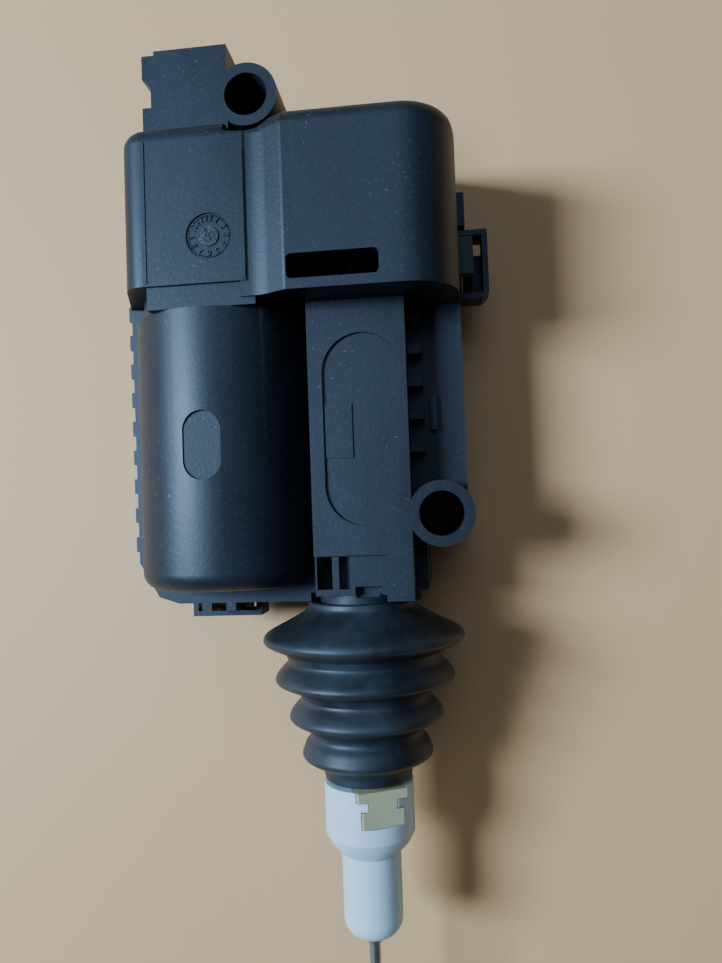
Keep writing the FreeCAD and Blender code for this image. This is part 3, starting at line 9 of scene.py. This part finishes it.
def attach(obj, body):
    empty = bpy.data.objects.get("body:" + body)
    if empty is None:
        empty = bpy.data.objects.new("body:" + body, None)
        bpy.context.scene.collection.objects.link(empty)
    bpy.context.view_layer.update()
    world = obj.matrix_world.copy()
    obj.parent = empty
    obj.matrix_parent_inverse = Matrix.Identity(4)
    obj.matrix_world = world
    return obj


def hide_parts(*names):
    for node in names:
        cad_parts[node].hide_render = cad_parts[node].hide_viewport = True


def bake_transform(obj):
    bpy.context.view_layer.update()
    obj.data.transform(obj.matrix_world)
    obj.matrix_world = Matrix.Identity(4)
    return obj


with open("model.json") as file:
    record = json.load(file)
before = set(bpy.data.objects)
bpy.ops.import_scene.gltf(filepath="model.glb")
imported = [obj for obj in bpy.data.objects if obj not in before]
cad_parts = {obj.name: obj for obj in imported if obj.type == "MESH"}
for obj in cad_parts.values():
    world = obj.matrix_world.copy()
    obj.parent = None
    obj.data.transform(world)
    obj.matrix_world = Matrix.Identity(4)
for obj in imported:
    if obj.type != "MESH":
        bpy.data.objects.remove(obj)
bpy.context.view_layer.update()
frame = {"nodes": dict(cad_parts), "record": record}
nodes = frame["nodes"]
scene = bpy.context.scene
mm = 0.001


# colours: sRGB hex to the linear values that the shaders take
def linear(hexColour):
    parts = [int(hexColour[i:i + 2], 16) / 255 for i in (1, 3, 5)]
    return tuple(c / 12.92 if c <= 0.04045 else ((c + 0.055) / 1.055) ** 2.4 for c in parts) + (1,)


# adds one node with its settings, and links or plain values for its inputs
def addNode(tree, kind, settings=None, inputs=None):
    node = tree.nodes.new("ShaderNode" + kind)
    for name, value in (settings or {}).items():
        setattr(node, name, value)
    for name, value in (inputs or {}).items():
        if isinstance(value, bpy.types.NodeSocket):
            tree.links.new(value, node.inputs[name])
        else:
            node.inputs[name].default_value = value
    return node


def startMaterial(name):
    material = bpy.data.materials.new(name)
    material.use_nodes = True
    tree = material.node_tree
    tree.nodes.clear()
    place = addNode(tree, "TexCoord").outputs["Object"]
    return material, tree, place


def finishMaterial(tree, inputs):
    shader = addNode(tree, "BsdfPrincipled", {}, inputs)
    addNode(tree, "OutputMaterial", {}, {"Surface": shader.outputs["BSDF"]})
    return shader


def ramp(tree, factor, low, high, lowColour=(0, 0, 0, 1), highColour=(1, 1, 1, 1)):
    node = addNode(tree, "ValToRGB", {}, {"Fac": factor})
    node.color_ramp.elements[0].position = low
    node.color_ramp.elements[0].color = lowColour
    node.color_ramp.elements[1].position = high
    node.color_ramp.elements[1].color = highColour
    return node.outputs["Color"]


# scale of a noise texture whose grains are this many millimetres across
def grainScale(sizeMm):
    return 0.5 / (sizeMm * mm)


# black glass-filled nylon, injection moulded in a spark-eroded tool: blue-black charcoal with a
# fine sand grain, a broad soft sheen, flow streaks along the mould and pale handling dust that
# stays in the grain; the grain is drawn about twice its real 0.15 mm, so that it shows
nylon = {
    "colour": "#151a20", "greyed": "#252d37", "worn": "#66788e", "dust": "#8295aa", "roughness": 0.48,
    # the reflection tint is painted: it turns the sheen blue for the bluish light that the plastic reflects
    "paintedReflectionTint": (0.78, 0.86, 1.0, 1.0), "streak": (1, 0.25, 1),
    "grainMm": 0.3, "grainDepth": 0.03, "dustMm": 0.36, "patchMm": 6.0, "flowMm": 9.0,
    "wornShare": 0.05, "dustShare": 0.4, "speck": (0.66, 0.74), "patch": (0.5, 0.7),
    "flow": (0.35, 0.75), "peaks": (0.52, 0.66), "smoother": 0.06, "rougher": 0.07, "bumpShare": 0.8,
    "ior": 1.53,
}


def makeNylon(name, **changes):
    look = {**nylon, **changes}
    material, tree, place = startMaterial(name)
    grain = addNode(tree, "TexNoise", {}, {
        "Vector": place, "Scale": grainScale(look["grainMm"]), "Detail": 3, "Roughness": 0.6})
    stretched = addNode(tree, "Mapping", {}, {"Vector": place, "Scale": look["streak"]})
    flow = addNode(tree, "TexNoise", {}, {
        "Vector": stretched.outputs["Vector"], "Scale": grainScale(look["flowMm"]), "Detail": 5,
        "Roughness": 0.6})
    dust = addNode(tree, "TexNoise", {}, {
        "Vector": place, "Scale": grainScale(look["dustMm"]), "Detail": 2, "Roughness": 0.5})
    patch = addNode(tree, "TexNoise", {}, {
        "Vector": place, "Scale": grainScale(look["patchMm"]), "Detail": 4, "Roughness": 0.65})
    shade = addNode(tree, "Mix", {"data_type": "RGBA"}, {
        "Factor": ramp(tree, flow.outputs["Fac"], *look["flow"]),
        "A": linear(look["colour"]), "B": linear(look["greyed"])})
    peaks = ramp(tree, grain.outputs["Fac"], *look["peaks"])
    rubbed = addNode(tree, "Math", {"operation": "MULTIPLY"}, {0: peaks, 1: look["wornShare"]})
    shade = addNode(tree, "Mix", {"data_type": "RGBA"}, {
        "Factor": rubbed.outputs[0], "A": shade.outputs["Result"], "B": linear(look["worn"])})
    speck = ramp(tree, dust.outputs["Fac"], *look["speck"])
    patchy = ramp(tree, patch.outputs["Fac"], *look["patch"])
    dusty = addNode(tree, "Math", {"operation": "MULTIPLY"}, {0: speck, 1: patchy})
    dusty = addNode(tree, "Math", {"operation": "MULTIPLY"}, {0: dusty.outputs[0], 1: look["dustShare"]})
    colour = addNode(tree, "Mix", {"data_type": "RGBA"}, {
        "Factor": dusty.outputs[0], "A": shade.outputs["Result"], "B": linear(look["dust"])})
    rough = addNode(tree, "MapRange", {}, {
        "Value": flow.outputs["Fac"], "From Min": 0.3, "From Max": 0.7,
        "To Min": look["roughness"] - look["smoother"], "To Max": look["roughness"] + look["rougher"]})
    bump = addNode(tree, "Bump", {}, {
        "Height": grain.outputs["Fac"], "Strength": look["bumpShare"],
        "Distance": look["grainDepth"] * mm})
    finishMaterial(tree, {
        "Base Color": colour.outputs["Result"], "Roughness": rough.outputs["Result"],
        "Normal": bump.outputs["Normal"], "IOR": look["ior"],
        "Specular Tint": look["paintedReflectionTint"]})
    return material


# matte moulded EPDM rubber: dark neutral grey, faint bloom and a low, wide sheen
rubber = {
    "colour": "#1e2328", "bloom": "#3a434d", "roughness": 0.48, "grainMm": 0.25,
    "grainDepth": 0.02, "bloomMm": 5, "smoother": 0.06, "rougher": 0.08, "ior": 1.52,
    "tint": (0.86, 0.9, 1.0, 1.0),
}


def makeRubber(name):
    material, tree, place = startMaterial(name)
    grain = addNode(tree, "TexNoise", {}, {
        "Vector": place, "Scale": grainScale(rubber["grainMm"]), "Detail": 2})
    bloom = addNode(tree, "TexNoise", {}, {
        "Vector": place, "Scale": grainScale(rubber["bloomMm"]), "Detail": 5, "Roughness": 0.6})
    colour = addNode(tree, "Mix", {"data_type": "RGBA"}, {
        "Factor": ramp(tree, bloom.outputs["Fac"], 0.4, 0.75),
        "A": linear(rubber["colour"]), "B": linear(rubber["bloom"])})
    rough = addNode(tree, "MapRange", {}, {
        "Value": bloom.outputs["Fac"], "From Min": 0.3, "From Max": 0.7,
        "To Min": rubber["roughness"] - rubber["smoother"],
        "To Max": rubber["roughness"] + rubber["rougher"]})
    bump = addNode(tree, "Bump", {}, {
        "Height": grain.outputs["Fac"], "Strength": 0.5, "Distance": rubber["grainDepth"] * mm})
    finishMaterial(tree, {
        "Base Color": colour.outputs["Result"], "Roughness": rough.outputs["Result"],
        "Normal": bump.outputs["Normal"], "IOR": rubber["ior"],
        "Specular Tint": rubber["tint"]})
    return material


# natural acetal, injection moulded: slightly see-through white with a soft waxy gloss
acetal = {
    "roughness": 0.38, "cloudMm": 6, "grainMm": 0.5, "grainDepth": 0.01, "smoother": 0.04,
    "rougher": 0.06, "ior": 1.48, "seeThrough": 0.35, "reach": (1.0, 0.95, 0.85), "reachMm": 0.8,
}


def makeAcetal(name, colour, tint, roughness=acetal["roughness"]):
    material, tree, place = startMaterial(name)
    cloud = addNode(tree, "TexNoise", {}, {
        "Vector": place, "Scale": grainScale(acetal["cloudMm"]), "Detail": 3})
    grain = addNode(tree, "TexNoise", {}, {
        "Vector": place, "Scale": grainScale(acetal["grainMm"]), "Detail": 2})
    shade = addNode(tree, "Mix", {"data_type": "RGBA"}, {
        "Factor": ramp(tree, cloud.outputs["Fac"], 0.35, 0.7),
        "A": linear(colour), "B": linear(tint)})
    bump = addNode(tree, "Bump", {}, {
        "Height": grain.outputs["Fac"], "Strength": 0.4, "Distance": acetal["grainDepth"] * mm})
    rough = addNode(tree, "MapRange", {}, {
        "Value": cloud.outputs["Fac"], "From Min": 0.3, "From Max": 0.7,
        "To Min": roughness - acetal["smoother"], "To Max": roughness + acetal["rougher"]})
    finishMaterial(tree, {
        "Base Color": shade.outputs["Result"], "Roughness": rough.outputs["Result"],
        "Normal": bump.outputs["Normal"], "IOR": acetal["ior"],
        "Subsurface Weight": acetal["seeThrough"], "Subsurface Radius": acetal["reach"],
        "Subsurface Scale": acetal["reachMm"] * mm})
    return material


# drawn or turned metal: fine lines along or round the piece, slight tarnish
metal = {"lineMm": 0.12, "lineDepth": 0.008, "cloudMm": 3, "smoother": 0.08, "rougher": 0.12}


def makeMetal(name, colour, tarnish, roughness, stretch=(1, 0.02, 1)):
    material, tree, place = startMaterial(name)
    scaled = addNode(tree, "Mapping", {}, {"Vector": place, "Scale": stretch})
    lines = addNode(tree, "TexNoise", {}, {
        "Vector": scaled.outputs["Vector"], "Scale": grainScale(metal["lineMm"]), "Detail": 2})
    cloud = addNode(tree, "TexNoise", {}, {
        "Vector": place, "Scale": grainScale(metal["cloudMm"]), "Detail": 4})
    shade = addNode(tree, "Mix", {"data_type": "RGBA"}, {
        "Factor": ramp(tree, cloud.outputs["Fac"], 0.4, 0.75),
        "A": linear(colour), "B": linear(tarnish)})
    rough = addNode(tree, "MapRange", {}, {
        "Value": lines.outputs["Fac"], "To Min": roughness - metal["smoother"],
        "To Max": roughness + metal["rougher"]})
    bump = addNode(tree, "Bump", {}, {
        "Height": lines.outputs["Fac"], "Strength": 0.5, "Distance": metal["lineDepth"] * mm})
    finishMaterial(tree, {
        "Base Color": shade.outputs["Result"], "Roughness": rough.outputs["Result"],
        "Normal": bump.outputs["Normal"], "Metallic": 1.0})
    return material


finishes = {
    "housing_nylon": makeNylon("glassFilledNylon"),
    "cap_plastic": makeNylon("phenolicEndCap", dustShare=0.0, wornShare=0.0),
    "black_rubber": makeRubber("nitrileRubber"),
    "bellows_rubber": makeRubber("epdmRubber"),
    "gear_acetal": makeAcetal("blackAcetal", "#15171a", "#1d2024"),
    "plunger_acetal": makeAcetal("ivoryAcetal", "#c9c6a4", "#bdb892"),
    "adaptor_acetal": makeAcetal("whiteAcetal", "#cfeaff", "#c4e2f8", 0.4),
    "bright_steel": makeMetal("drawnSteelWire", "#d6d7d9", "#a9acb0", 0.36),
    "zinc_steel": makeMetal("zincPlatedSteel", "#b4b7bb", "#9a9ea6", 0.36, (1, 1, 1)),
    "core_steel": makeMetal("siliconSteelLaminations", "#7d8187", "#5f646b", 0.45, (0.05, 3, 0.05)),
    "bush_bronze": makeMetal("sinteredBronze", "#a37b4c", "#7c5c38", 0.5, (1, 1, 1)),
    "spring_bronze": makeMetal("phosphorBronzeStrip", "#bd8a55", "#96693d", 0.35),
    "copper": makeMetal("enamelledCopper", "#b8673a", "#8f4a26", 0.32, (0.2, 2, 0.2)),
    "pinion_brass": makeMetal("cutBrass", "#c2a052", "#9c7d3a", 0.34),
    "tinned_brass": makeMetal("tinnedBrass", "#c3c4c2", "#a4a6a3", 0.33),
    "ferrite": makeRubber("sinteredFerrite"),
    "carbon": makeRubber("pressedCarbon"),
}
# the same nylon where the mould or the hand has left it otherwise, and where light and shade are painted in:
# edges rubbed pale, with the bead paler still as a painted highlight, the coarse spark-eroded plate and
# strip, the smoother barrel with its streaks, the polished deck and the dial's recess floor near black as
# painted shade, the dial's relief darkened as painted shade over worn grain, the greyer rims and flange tops
# painted lighter as painted light, and the smooth right side of the dome darkened as painted shade
# pale nylon for the bevels and the bead: edges rubbed pale, and on the bead a painted highlight as well
rubbedAndHighlitNylon = makeNylon("rubbedEdgeAndPaintedHighlight", grainMm=0.5, grainDepth=0.06, dustShare=0.7, wornShare=0.95,
                      colour="#2a3440", greyed="#465463", roughness=0.42)
coarseNylon = makeNylon("sparkGrainNylon", grainMm=0.42, grainDepth=0.14, dustShare=1.0, wornShare=0.6,
                        colour="#28323e", greyed="#425162", speck=(0.6, 0.72), patch=(0.4, 0.64))
barrelNylon = makeNylon("satinNylonBarrel", grainMm=0.25, grainDepth=0.012, dustShare=0.3, wornShare=0.03,
                        roughness=0.6, streak=(1, 0.06, 1))
# near-black nylon is painted shade: the deck beside the plate and the dial's recess floor get it for the
# shade that falls in them
paintedShadeNylon = makeNylon("polishedNylonPaintedShade", colour="#07090c", greyed="#0c0f13", grainDepth=0.005,
                      wornShare=0.0, dustShare=0.15, roughness=0.24)
# rim nylon: greyer grained tops painted lighter as painted light, on the upward faces of the flange, the
# neck block and the boss tops
litRimNylon = makeNylon("greyRimWithPaintedLight", colour="#222b35", greyed="#354250", grainMm=0.4, grainDepth=0.08,
                     wornShare=0.4, dustShare=0.6, speck=(0.62, 0.72), patch=(0.42, 0.66))
# the dial's relief: painted darker as painted shade in the relief, over worn and dusty grain
dialShadeAndWearNylon = makeNylon("dialReliefShadeAndWear", colour="#10151a", greyed="#202932", grainDepth=0.1, wornShare=0.25,
                      dustShare=0.35, dustMm=0.24, speck=(0.56, 0.68), patch=(0.3, 0.5))
# smoother nylon painted darker: painted shade on the dome's side that faces away from the light
shadedSideNylon = makeNylon("smoothSideWithPaintedShade", colour="#12171d", greyed="#1a2129", grainDepth=0.01, wornShare=0.02,
                      dustShare=0.25, roughness=0.36)
for entry in frame["record"]["subparts"]:
    node = nodes[entry["node"]]
    node.data.materials.clear()
    node.data.materials.append(finishes[entry["material_slot"]])
print("materials done")


def newPiece(name, mesh, body, slotName, replaced=()):
    piece = bpy.data.objects.new(name, mesh)
    scene.collection.objects.link(piece)
    mesh.materials.clear()
    mesh.materials.append(finishes[slotName])
    if body:
        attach(piece, body)
    if replaced:
        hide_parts(*replaced)
    return piece


def shadeByAngle(form, degrees):
    for face in form.faces:
        face.smooth = True
    for edge in form.edges:
        edge.smooth = edge.is_manifold and edge.calc_face_angle(0) < math.radians(degrees)


def addModifier(piece, kind, **settings):
    modifier = piece.modifiers.new(kind.lower(), kind)
    for name, value in settings.items():
        setattr(modifier, name, value)
    return modifier


# a moulded piece with its edges broken: the CAD solid's copy, merged and bevelled
merge = {"distance": 2e-6, "flatDegrees": 0.6, "ridgeSegments": 5}


def softenedCopy(name, source, body, slotName, width, segments=2, angle=28, extra=(), pick=None,
                 ridges=()):
    form = bmesh.new()
    form.from_mesh(nodes[source].data)
    bmesh.ops.remove_doubles(form, verts=form.verts, dist=merge["distance"])
    bmesh.ops.dissolve_limit(form, angle_limit=math.radians(merge["flatDegrees"]), verts=form.verts,
                             edges=form.edges)
    for test, radius in ridges:
        chosen = [edge for edge in form.edges if test(*[v.co / mm for v in edge.verts])]
        bmesh.ops.bevel(form, geom=chosen, affect="EDGES", offset=radius * mm,
                        segments=merge["ridgeSegments"], profile=0.5, material=-1, clamp_overlap=True)
    shadeByAngle(form, angle)
    for face in form.faces:
        face.material_index = pick(face.calc_center_median() / mm, face.normal) if pick else 0
    mesh = bpy.data.meshes.new(name)
    form.to_mesh(mesh)
    form.free()
    piece = newPiece(name, mesh, body, slotName, (source,))
    for material in extra:
        mesh.materials.append(material)
    addModifier(piece, "BEVEL", width=width * mm, segments=segments, limit_method="ANGLE",
                angle_limit=math.radians(angle), use_clamp_overlap=True, miter_outer="MITER_ARC",
                material=1 if extra else -1)
    addModifier(piece, "WEIGHTED_NORMAL", keep_sharp=True, weight=60)
    return piece


# the date dial's place and sizes, which the cover's finish needs too
dial = {
    "x": -35.1, "y": 45.3, "floor": 32.0, "rise": 0.22, "radius": 3.55, "numberRadius": 2.75,
    "numberSize": 1.35, "hub": 1.6, "turn": 25, "bed": 0.05, "tickStep": 6, "longTick": 0.5,
    "shortTick": 0.22, "tickWidth": 0.14, "tickInset": 0.2, "shaftLength": 1.5, "shaftWidth": 0.34,
    "arrowRise": 0.12, "sunk": 0.02, "barb": (0.26, 0.95, 0.14), "barbTurn": 0.7, "barbBack": 0.4,
    "barbTip": 1.05, "barbRise": 0.05, "edge": 0.04, "edgeDegrees": 40,
}

# which nylon a face of the cover has, by its place after the plain one in nylonKinds
plain, worn, coarse, barrel, deck, rim, side = range(7)
cover = {
    "edge": 0.35, "edgeDegrees": 22, "ridge": (-22.7, 34.3), "foot": (-26.8, 32.1), "ridgeRound": 1.6,
    "near": 0.15, "ridgeLength": 5, "up": 0.9, "upward": 0.7, "slanting": 0.3,
    "flangeTop": 19.5, "flangeNear": 0.2, "deckLeft": -5.5, "deckFront": 1,
    "neckRear": -4.0, "neckLeft": -21.5, "neckRight": -5, "neckLow": 22,
    "plateLow": 24.6, "plateLeft": -21.2, "plateRight": 5.6, "plateRear": 35.4,
    "stripLow": 30, "stripFront": 34.0, "stripRear": 38.0,
    "barrelX": -37.0, "barrelZ": 17.5, "barrelRadius": 15.0, "barrelNear": 0.8,
    "bosses": ((0, 0), (-29.6, 70.4)), "bossReach": 6.2,
    "domeFront": 35.2, "domeRight": -4.65, "domeLean": 0.02,
    "beadTop": 32.38, "beadRight": -27, "dialFloor": 32.0, "dialNear": 0.02, "dialReach": 3,
}


def coverFinish(centre, normal):
    x, y, z = centre
    outwards = math.hypot(x - cover["barrelX"], z - cover["barrelZ"]) - cover["barrelRadius"]
    upward = normal.z > cover["upward"]
    # flange tops: near-black painted shade on the deck beside the plate, and the rim nylon painted lighter
    # as painted light elsewhere
    if abs(z - cover["flangeTop"]) < cover["flangeNear"] and normal.z > cover["up"]:
        return deck if x > cover["deckLeft"] and y > cover["deckFront"] else rim
    # the neck block's upward faces take the rim nylon, painted lighter as painted light
    if y < cover["neckRear"] and cover["neckLeft"] < x < cover["neckRight"] and (
            z > cover["neckLow"] and normal.z > cover["slanting"]):
        return rim
    if y < cover["plateRear"] and cover["plateLeft"] < x < cover["plateRight"] and (
            z > cover["plateLow"] and upward):
        return coarse
    if cover["stripFront"] < y < cover["stripRear"] and upward and z > cover["stripLow"]:
        return coarse
    if abs(outwards) < cover["barrelNear"] and y < cover["stripFront"]:
        return barrel
    # boss tops take the rim nylon, painted lighter as painted light; their sides stay plain
    if any(math.hypot(x - bossX, y - bossY) < cover["bossReach"] for bossX, bossY in cover["bosses"]):
        return rim if upward else plain
    # the dome's right-facing side takes the darker, smoother nylon: painted shade
    if y > cover["domeFront"] and x > cover["domeRight"] and normal.x > cover["domeLean"]:
        return side
    # the bead on the left top takes the pale rubbed nylon, which is also a painted highlight there
    if x < cover["beadRight"] and z > cover["beadTop"]:
        return worn
    # the dial's recess floor takes the near-black painted shade
    if abs(z - cover["dialFloor"]) < cover["dialNear"] and (
            math.hypot(x - dial["x"], y - dial["y"]) < cover["dialReach"]):
        return deck
    return plain


# picks the edges that run along the dome at one place across it
def alongDome(x, z):
    def test(a, b):
        near = all(abs(p.x - x) < cover["near"] and abs(p.z - z) < cover["near"] for p in (a, b))
        return near and abs(a.y - b.y) > cover["ridgeLength"]
    return test


nylonKinds = (rubbedAndHighlitNylon, coarseNylon, barrelNylon, paintedShadeNylon, litRimNylon, shadedSideNylon)
domeRidges = [(alongDome(*cover[place]), cover["ridgeRound"]) for place in ("ridge", "foot")]
softenedCopy("coverMoulding", "cover_shell", "housing", "housing_nylon", cover["edge"],
             angle=cover["edgeDegrees"], extra=nylonKinds, pick=coverFinish, ridges=domeRidges)
base = {"edge": 0.3}
softenedCopy("baseMoulding", "base_shell", "housing", "housing_nylon", base["edge"], extra=nylonKinds)
print("shells done")

# date dial on the flat box: twelve numbered months round a turnable arrow, raised from its recess
def addDisc(form, radius, low, high, segments=48):
    made = bmesh.ops.create_cone(form, cap_ends=True, segments=segments, radius1=radius, radius2=radius,
                                 depth=high - low)
    bmesh.ops.translate(form, verts=made["verts"], vec=(0, 0, (low + high) / 2))


def addBar(form, length, width, low, high, offset, angle):
    made = bmesh.ops.create_cube(form, size=1)
    bmesh.ops.scale(form, verts=made["verts"], vec=(width, length, high - low))
    bmesh.ops.translate(form, verts=made["verts"], vec=(0, offset, (low + high) / 2))
    bmesh.ops.rotate(form, verts=made["verts"], cent=(0, 0, 0), matrix=Matrix.Rotation(angle, 3, "Z"))


def addNumber(form, number, size, low, high, radius, angle):
    curve = bpy.data.curves.new("dialNumber", "FONT")
    curve.body, curve.size, curve.extrude = number, size, (high - low) / 2
    curve.align_x, curve.align_y = "CENTER", "CENTER"
    curve.resolution_u = 3
    holder = bpy.data.objects.new("dialNumber", curve)
    mesh = bpy.data.meshes.new_from_object(holder)
    before = set(form.verts)
    form.from_mesh(mesh)
    made = [vert for vert in form.verts if vert not in before]
    bmesh.ops.translate(form, verts=made, vec=(0, radius, (low + high) / 2))
    bmesh.ops.rotate(form, verts=made, cent=(0, 0, 0), matrix=Matrix.Rotation(angle, 3, "Z"))
    bpy.data.objects.remove(holder)
    bpy.data.curves.remove(curve)
    bpy.data.meshes.remove(mesh)


form = bmesh.new()
low, high = -dial["bed"], dial["rise"]
for angle in range(0, 360, dial["tickStep"]):
    addBar(form, dial["longTick"] if angle % 30 == 15 else dial["shortTick"], dial["tickWidth"], low, high,
           dial["radius"] - dial["tickInset"], math.radians(angle))
for month in range(1, 13):
    addNumber(form, str(month), dial["numberSize"], low, high, dial["numberRadius"],
              -math.radians(month * 30))
addDisc(form, dial["hub"], low, high)
turn = math.radians(dial["turn"])
addBar(form, dial["shaftLength"], dial["shaftWidth"], high - dial["sunk"], high + dial["arrowRise"], 0,
       turn)
for half in (-1, 1):
    barb = bmesh.ops.create_cube(form, size=1)["verts"]
    bmesh.ops.scale(form, verts=barb, vec=dial["barb"])
    bmesh.ops.translate(form, verts=barb, vec=(0, -dial["barbBack"], high + dial["barbRise"]))
    bmesh.ops.rotate(form, verts=barb, cent=(0, 0, 0),
                     matrix=Matrix.Rotation(half * dial["barbTurn"], 3, "Z"))
    bmesh.ops.translate(form, verts=barb, vec=(0, dial["barbTip"], 0))
    bmesh.ops.rotate(form, verts=barb, cent=(0, 0, 0), matrix=Matrix.Rotation(turn, 3, "Z"))
bmesh.ops.scale(form, verts=form.verts, vec=(mm, mm, mm))
bmesh.ops.translate(form, verts=form.verts, vec=(dial["x"] * mm, dial["y"] * mm, dial["floor"] * mm))
bmesh.ops.recalc_face_normals(form, faces=form.faces)
mesh = bpy.data.meshes.new("dateDial")
form.to_mesh(mesh)
form.free()
dialPiece = newPiece("dateDial", mesh, "housing", "housing_nylon")
# the dial's relief takes the darker nylon: painted shade, with wear and dust
mesh.materials[0] = dialShadeAndWearNylon
addModifier(dialPiece, "BEVEL", width=dial["edge"] * mm, segments=1, limit_method="ANGLE",
            angle_limit=math.radians(dial["edgeDegrees"]), use_clamp_overlap=True)
print("dial done")

# rubber bellows: four folds that narrow towards the cuff, turned from a half section
bellows = {
    "x": -14.2, "z": 17.5, "crests": (17.3, 15.4, 13.2, 11.2), "valleys": (13.0, 11.0, 9.6),
    "crestY": (-20.5, -27.1, -33.4, -39.7), "crestInside": 1.2, "wall": 0.9, "steps": 48,
    "blendStart": -16.8, "blendEnd": -42.4,
}


def bellowsProfile():
    outer = [(9.2, -14.25), (9.3, -14.5), (9.3, -15.3), (9.9, -15.9), (13.0, -17.6), (16.2, -19.1)]
    for index, (crest, y) in enumerate(zip(bellows["crests"], bellows["crestY"])):
        outer += [(crest - 0.35, y + 0.85), (crest, y + 0.1), (crest - 0.15, y - 0.65)]
        if index < len(bellows["valleys"]):
            valley = bellows["valleys"][index]
            middle = (y + bellows["crestY"][index + 1]) / 2
            outer += [(valley + 0.9, middle + 1.35), (valley + 0.05, middle + 0.6),
                      (valley + 0.05, middle - 0.5), (valley + 0.9, middle - 1.2)]
    outer += [(9.6, -41.1), (7.9, -42.1), (7.5, -42.7), (7.5, -43.7), (7.2, -44.15)]
    inner = [(5.3, -44.15), (5.3, -42.4), (7.0, -41.2), (9.6, -39.9)]
    for index in (2, 1, 0):
        valley = bellows["valleys"][index]
        middle = (bellows["crestY"][index] + bellows["crestY"][index + 1]) / 2
        inner += [(valley - bellows["wall"], middle),
                  (bellows["crests"][index] - bellows["crestInside"], bellows["crestY"][index])]
    inner += [(8.2, -16.9), (8.2, -15.4), (7.4, -15.4), (7.4, -14.25)]
    return outer + inner


form = bmesh.new()
ringVerts = [form.verts.new(((bellows["x"] + radius) * mm, y * mm, bellows["z"] * mm))
             for radius, y in bellowsProfile()]
for index, vert in enumerate(ringVerts):
    form.edges.new((vert, ringVerts[(index + 1) % len(ringVerts)]))
bmesh.ops.spin(form, geom=form.verts[:] + form.edges[:], cent=(bellows["x"] * mm, 0, bellows["z"] * mm),
               axis=(0, 1, 0), angle=math.tau, steps=bellows["steps"], use_merge=True)
bmesh.ops.remove_doubles(form, verts=form.verts, dist=1e-6)
bmesh.ops.recalc_face_normals(form, faces=form.faces)
for face in form.faces:
    face.smooth = True
mesh = bpy.data.meshes.new("rubberBellows")
form.to_mesh(mesh)
form.free()
bellowsPiece = newPiece("rubberBellows", mesh, None, "bellows_rubber", ("bellows",))
addModifier(bellowsPiece, "SUBSURF", levels=2, render_levels=2)
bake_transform(bellowsPiece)
print("bellows done")

# rod adaptor and plunger, with their moulded edges broken
mouldings = {"adaptorEdge": 0.3, "adaptorSegments": 3, "lugEdge": 0.25}
softenedCopy("adaptorMoulding", "rod_adaptor", "plunger", "adaptor_acetal", mouldings["adaptorEdge"],
             mouldings["adaptorSegments"])
softenedCopy("plungerMoulding", "plunger", "plunger", "plunger_acetal", mouldings["lugEdge"])

# floor, lights and camera
studio = {
    "floorSize": 2, "floorScale": 6, "floorColours": ("#efbf8b", "#e4b27d"), "floorRoughness": 0.6,
    "target": (-0.02, 0, 0.01), "room": "#cfdcf0", "roomStrength": 0.08,
    "window": ((-0.6, 0.1, 0.64), (0.2, 0.34), 13.5, "#c5e3ff"),
    "ceiling": ((0.1, 0.5, 0.9), (0.6, 0.6), 1.5, "#cbe4ff"),
    "cameraPlace": (0.00081, 0.0008, 0.14797), "cameraTurn": (1.98630, 6.45202, -2.07176),
    "lens": 28.41, "sensor": 36, "nearest": 0.005,
}
form = bmesh.new()
bmesh.ops.create_grid(form, x_segments=2, y_segments=2, size=studio["floorSize"])
mesh = bpy.data.meshes.new("floor")
form.to_mesh(mesh)
form.free()
floor = bpy.data.objects.new("floor", mesh)
scene.collection.objects.link(floor)
material, tree, place = startMaterial("paleBoard")
tone = addNode(tree, "TexNoise", {}, {
    "Vector": place, "Scale": studio["floorScale"], "Detail": 3})
shade = addNode(tree, "Mix", {"data_type": "RGBA"}, {
    "Factor": tone.outputs["Fac"], "A": linear(studio["floorColours"][0]),
    "B": linear(studio["floorColours"][1])})
finishMaterial(tree, {"Base Color": shade.outputs["Result"], "Roughness": studio["floorRoughness"]})
mesh.materials.append(material)


def addLight(name, place, size, power, colour):
    light = bpy.data.lights.new(name, "AREA")
    light.shape = "RECTANGLE"
    light.size, light.size_y = size
    light.energy = power
    light.color = linear(colour)[:3]
    lamp = bpy.data.objects.new(name, light)
    lamp.location = place
    lamp.rotation_euler = (Vector(studio["target"]) - Vector(place)).to_track_quat("-Z", "Y").to_euler()
    scene.collection.objects.link(lamp)


addLight("windowLight", *studio["window"])
addLight("ceilingLight", *studio["ceiling"])
world = bpy.data.worlds.new("room")
world.use_nodes = True
background = world.node_tree.nodes["Background"]
background.inputs["Color"].default_value = linear(studio["room"])
background.inputs["Strength"].default_value = studio["roomStrength"]
scene.world = world

camera = bpy.data.objects.new("camera", bpy.data.cameras.new("camera"))
camera.data.lens = studio["lens"]
camera.data.sensor_width = studio["sensor"]
camera.data.clip_start = studio["nearest"]
camera.location = studio["cameraPlace"]
camera.rotation_euler = tuple(math.radians(angle) for angle in studio["cameraTurn"])
scene.collection.objects.link(camera)
scene.camera = camera
print("camera and lights done")
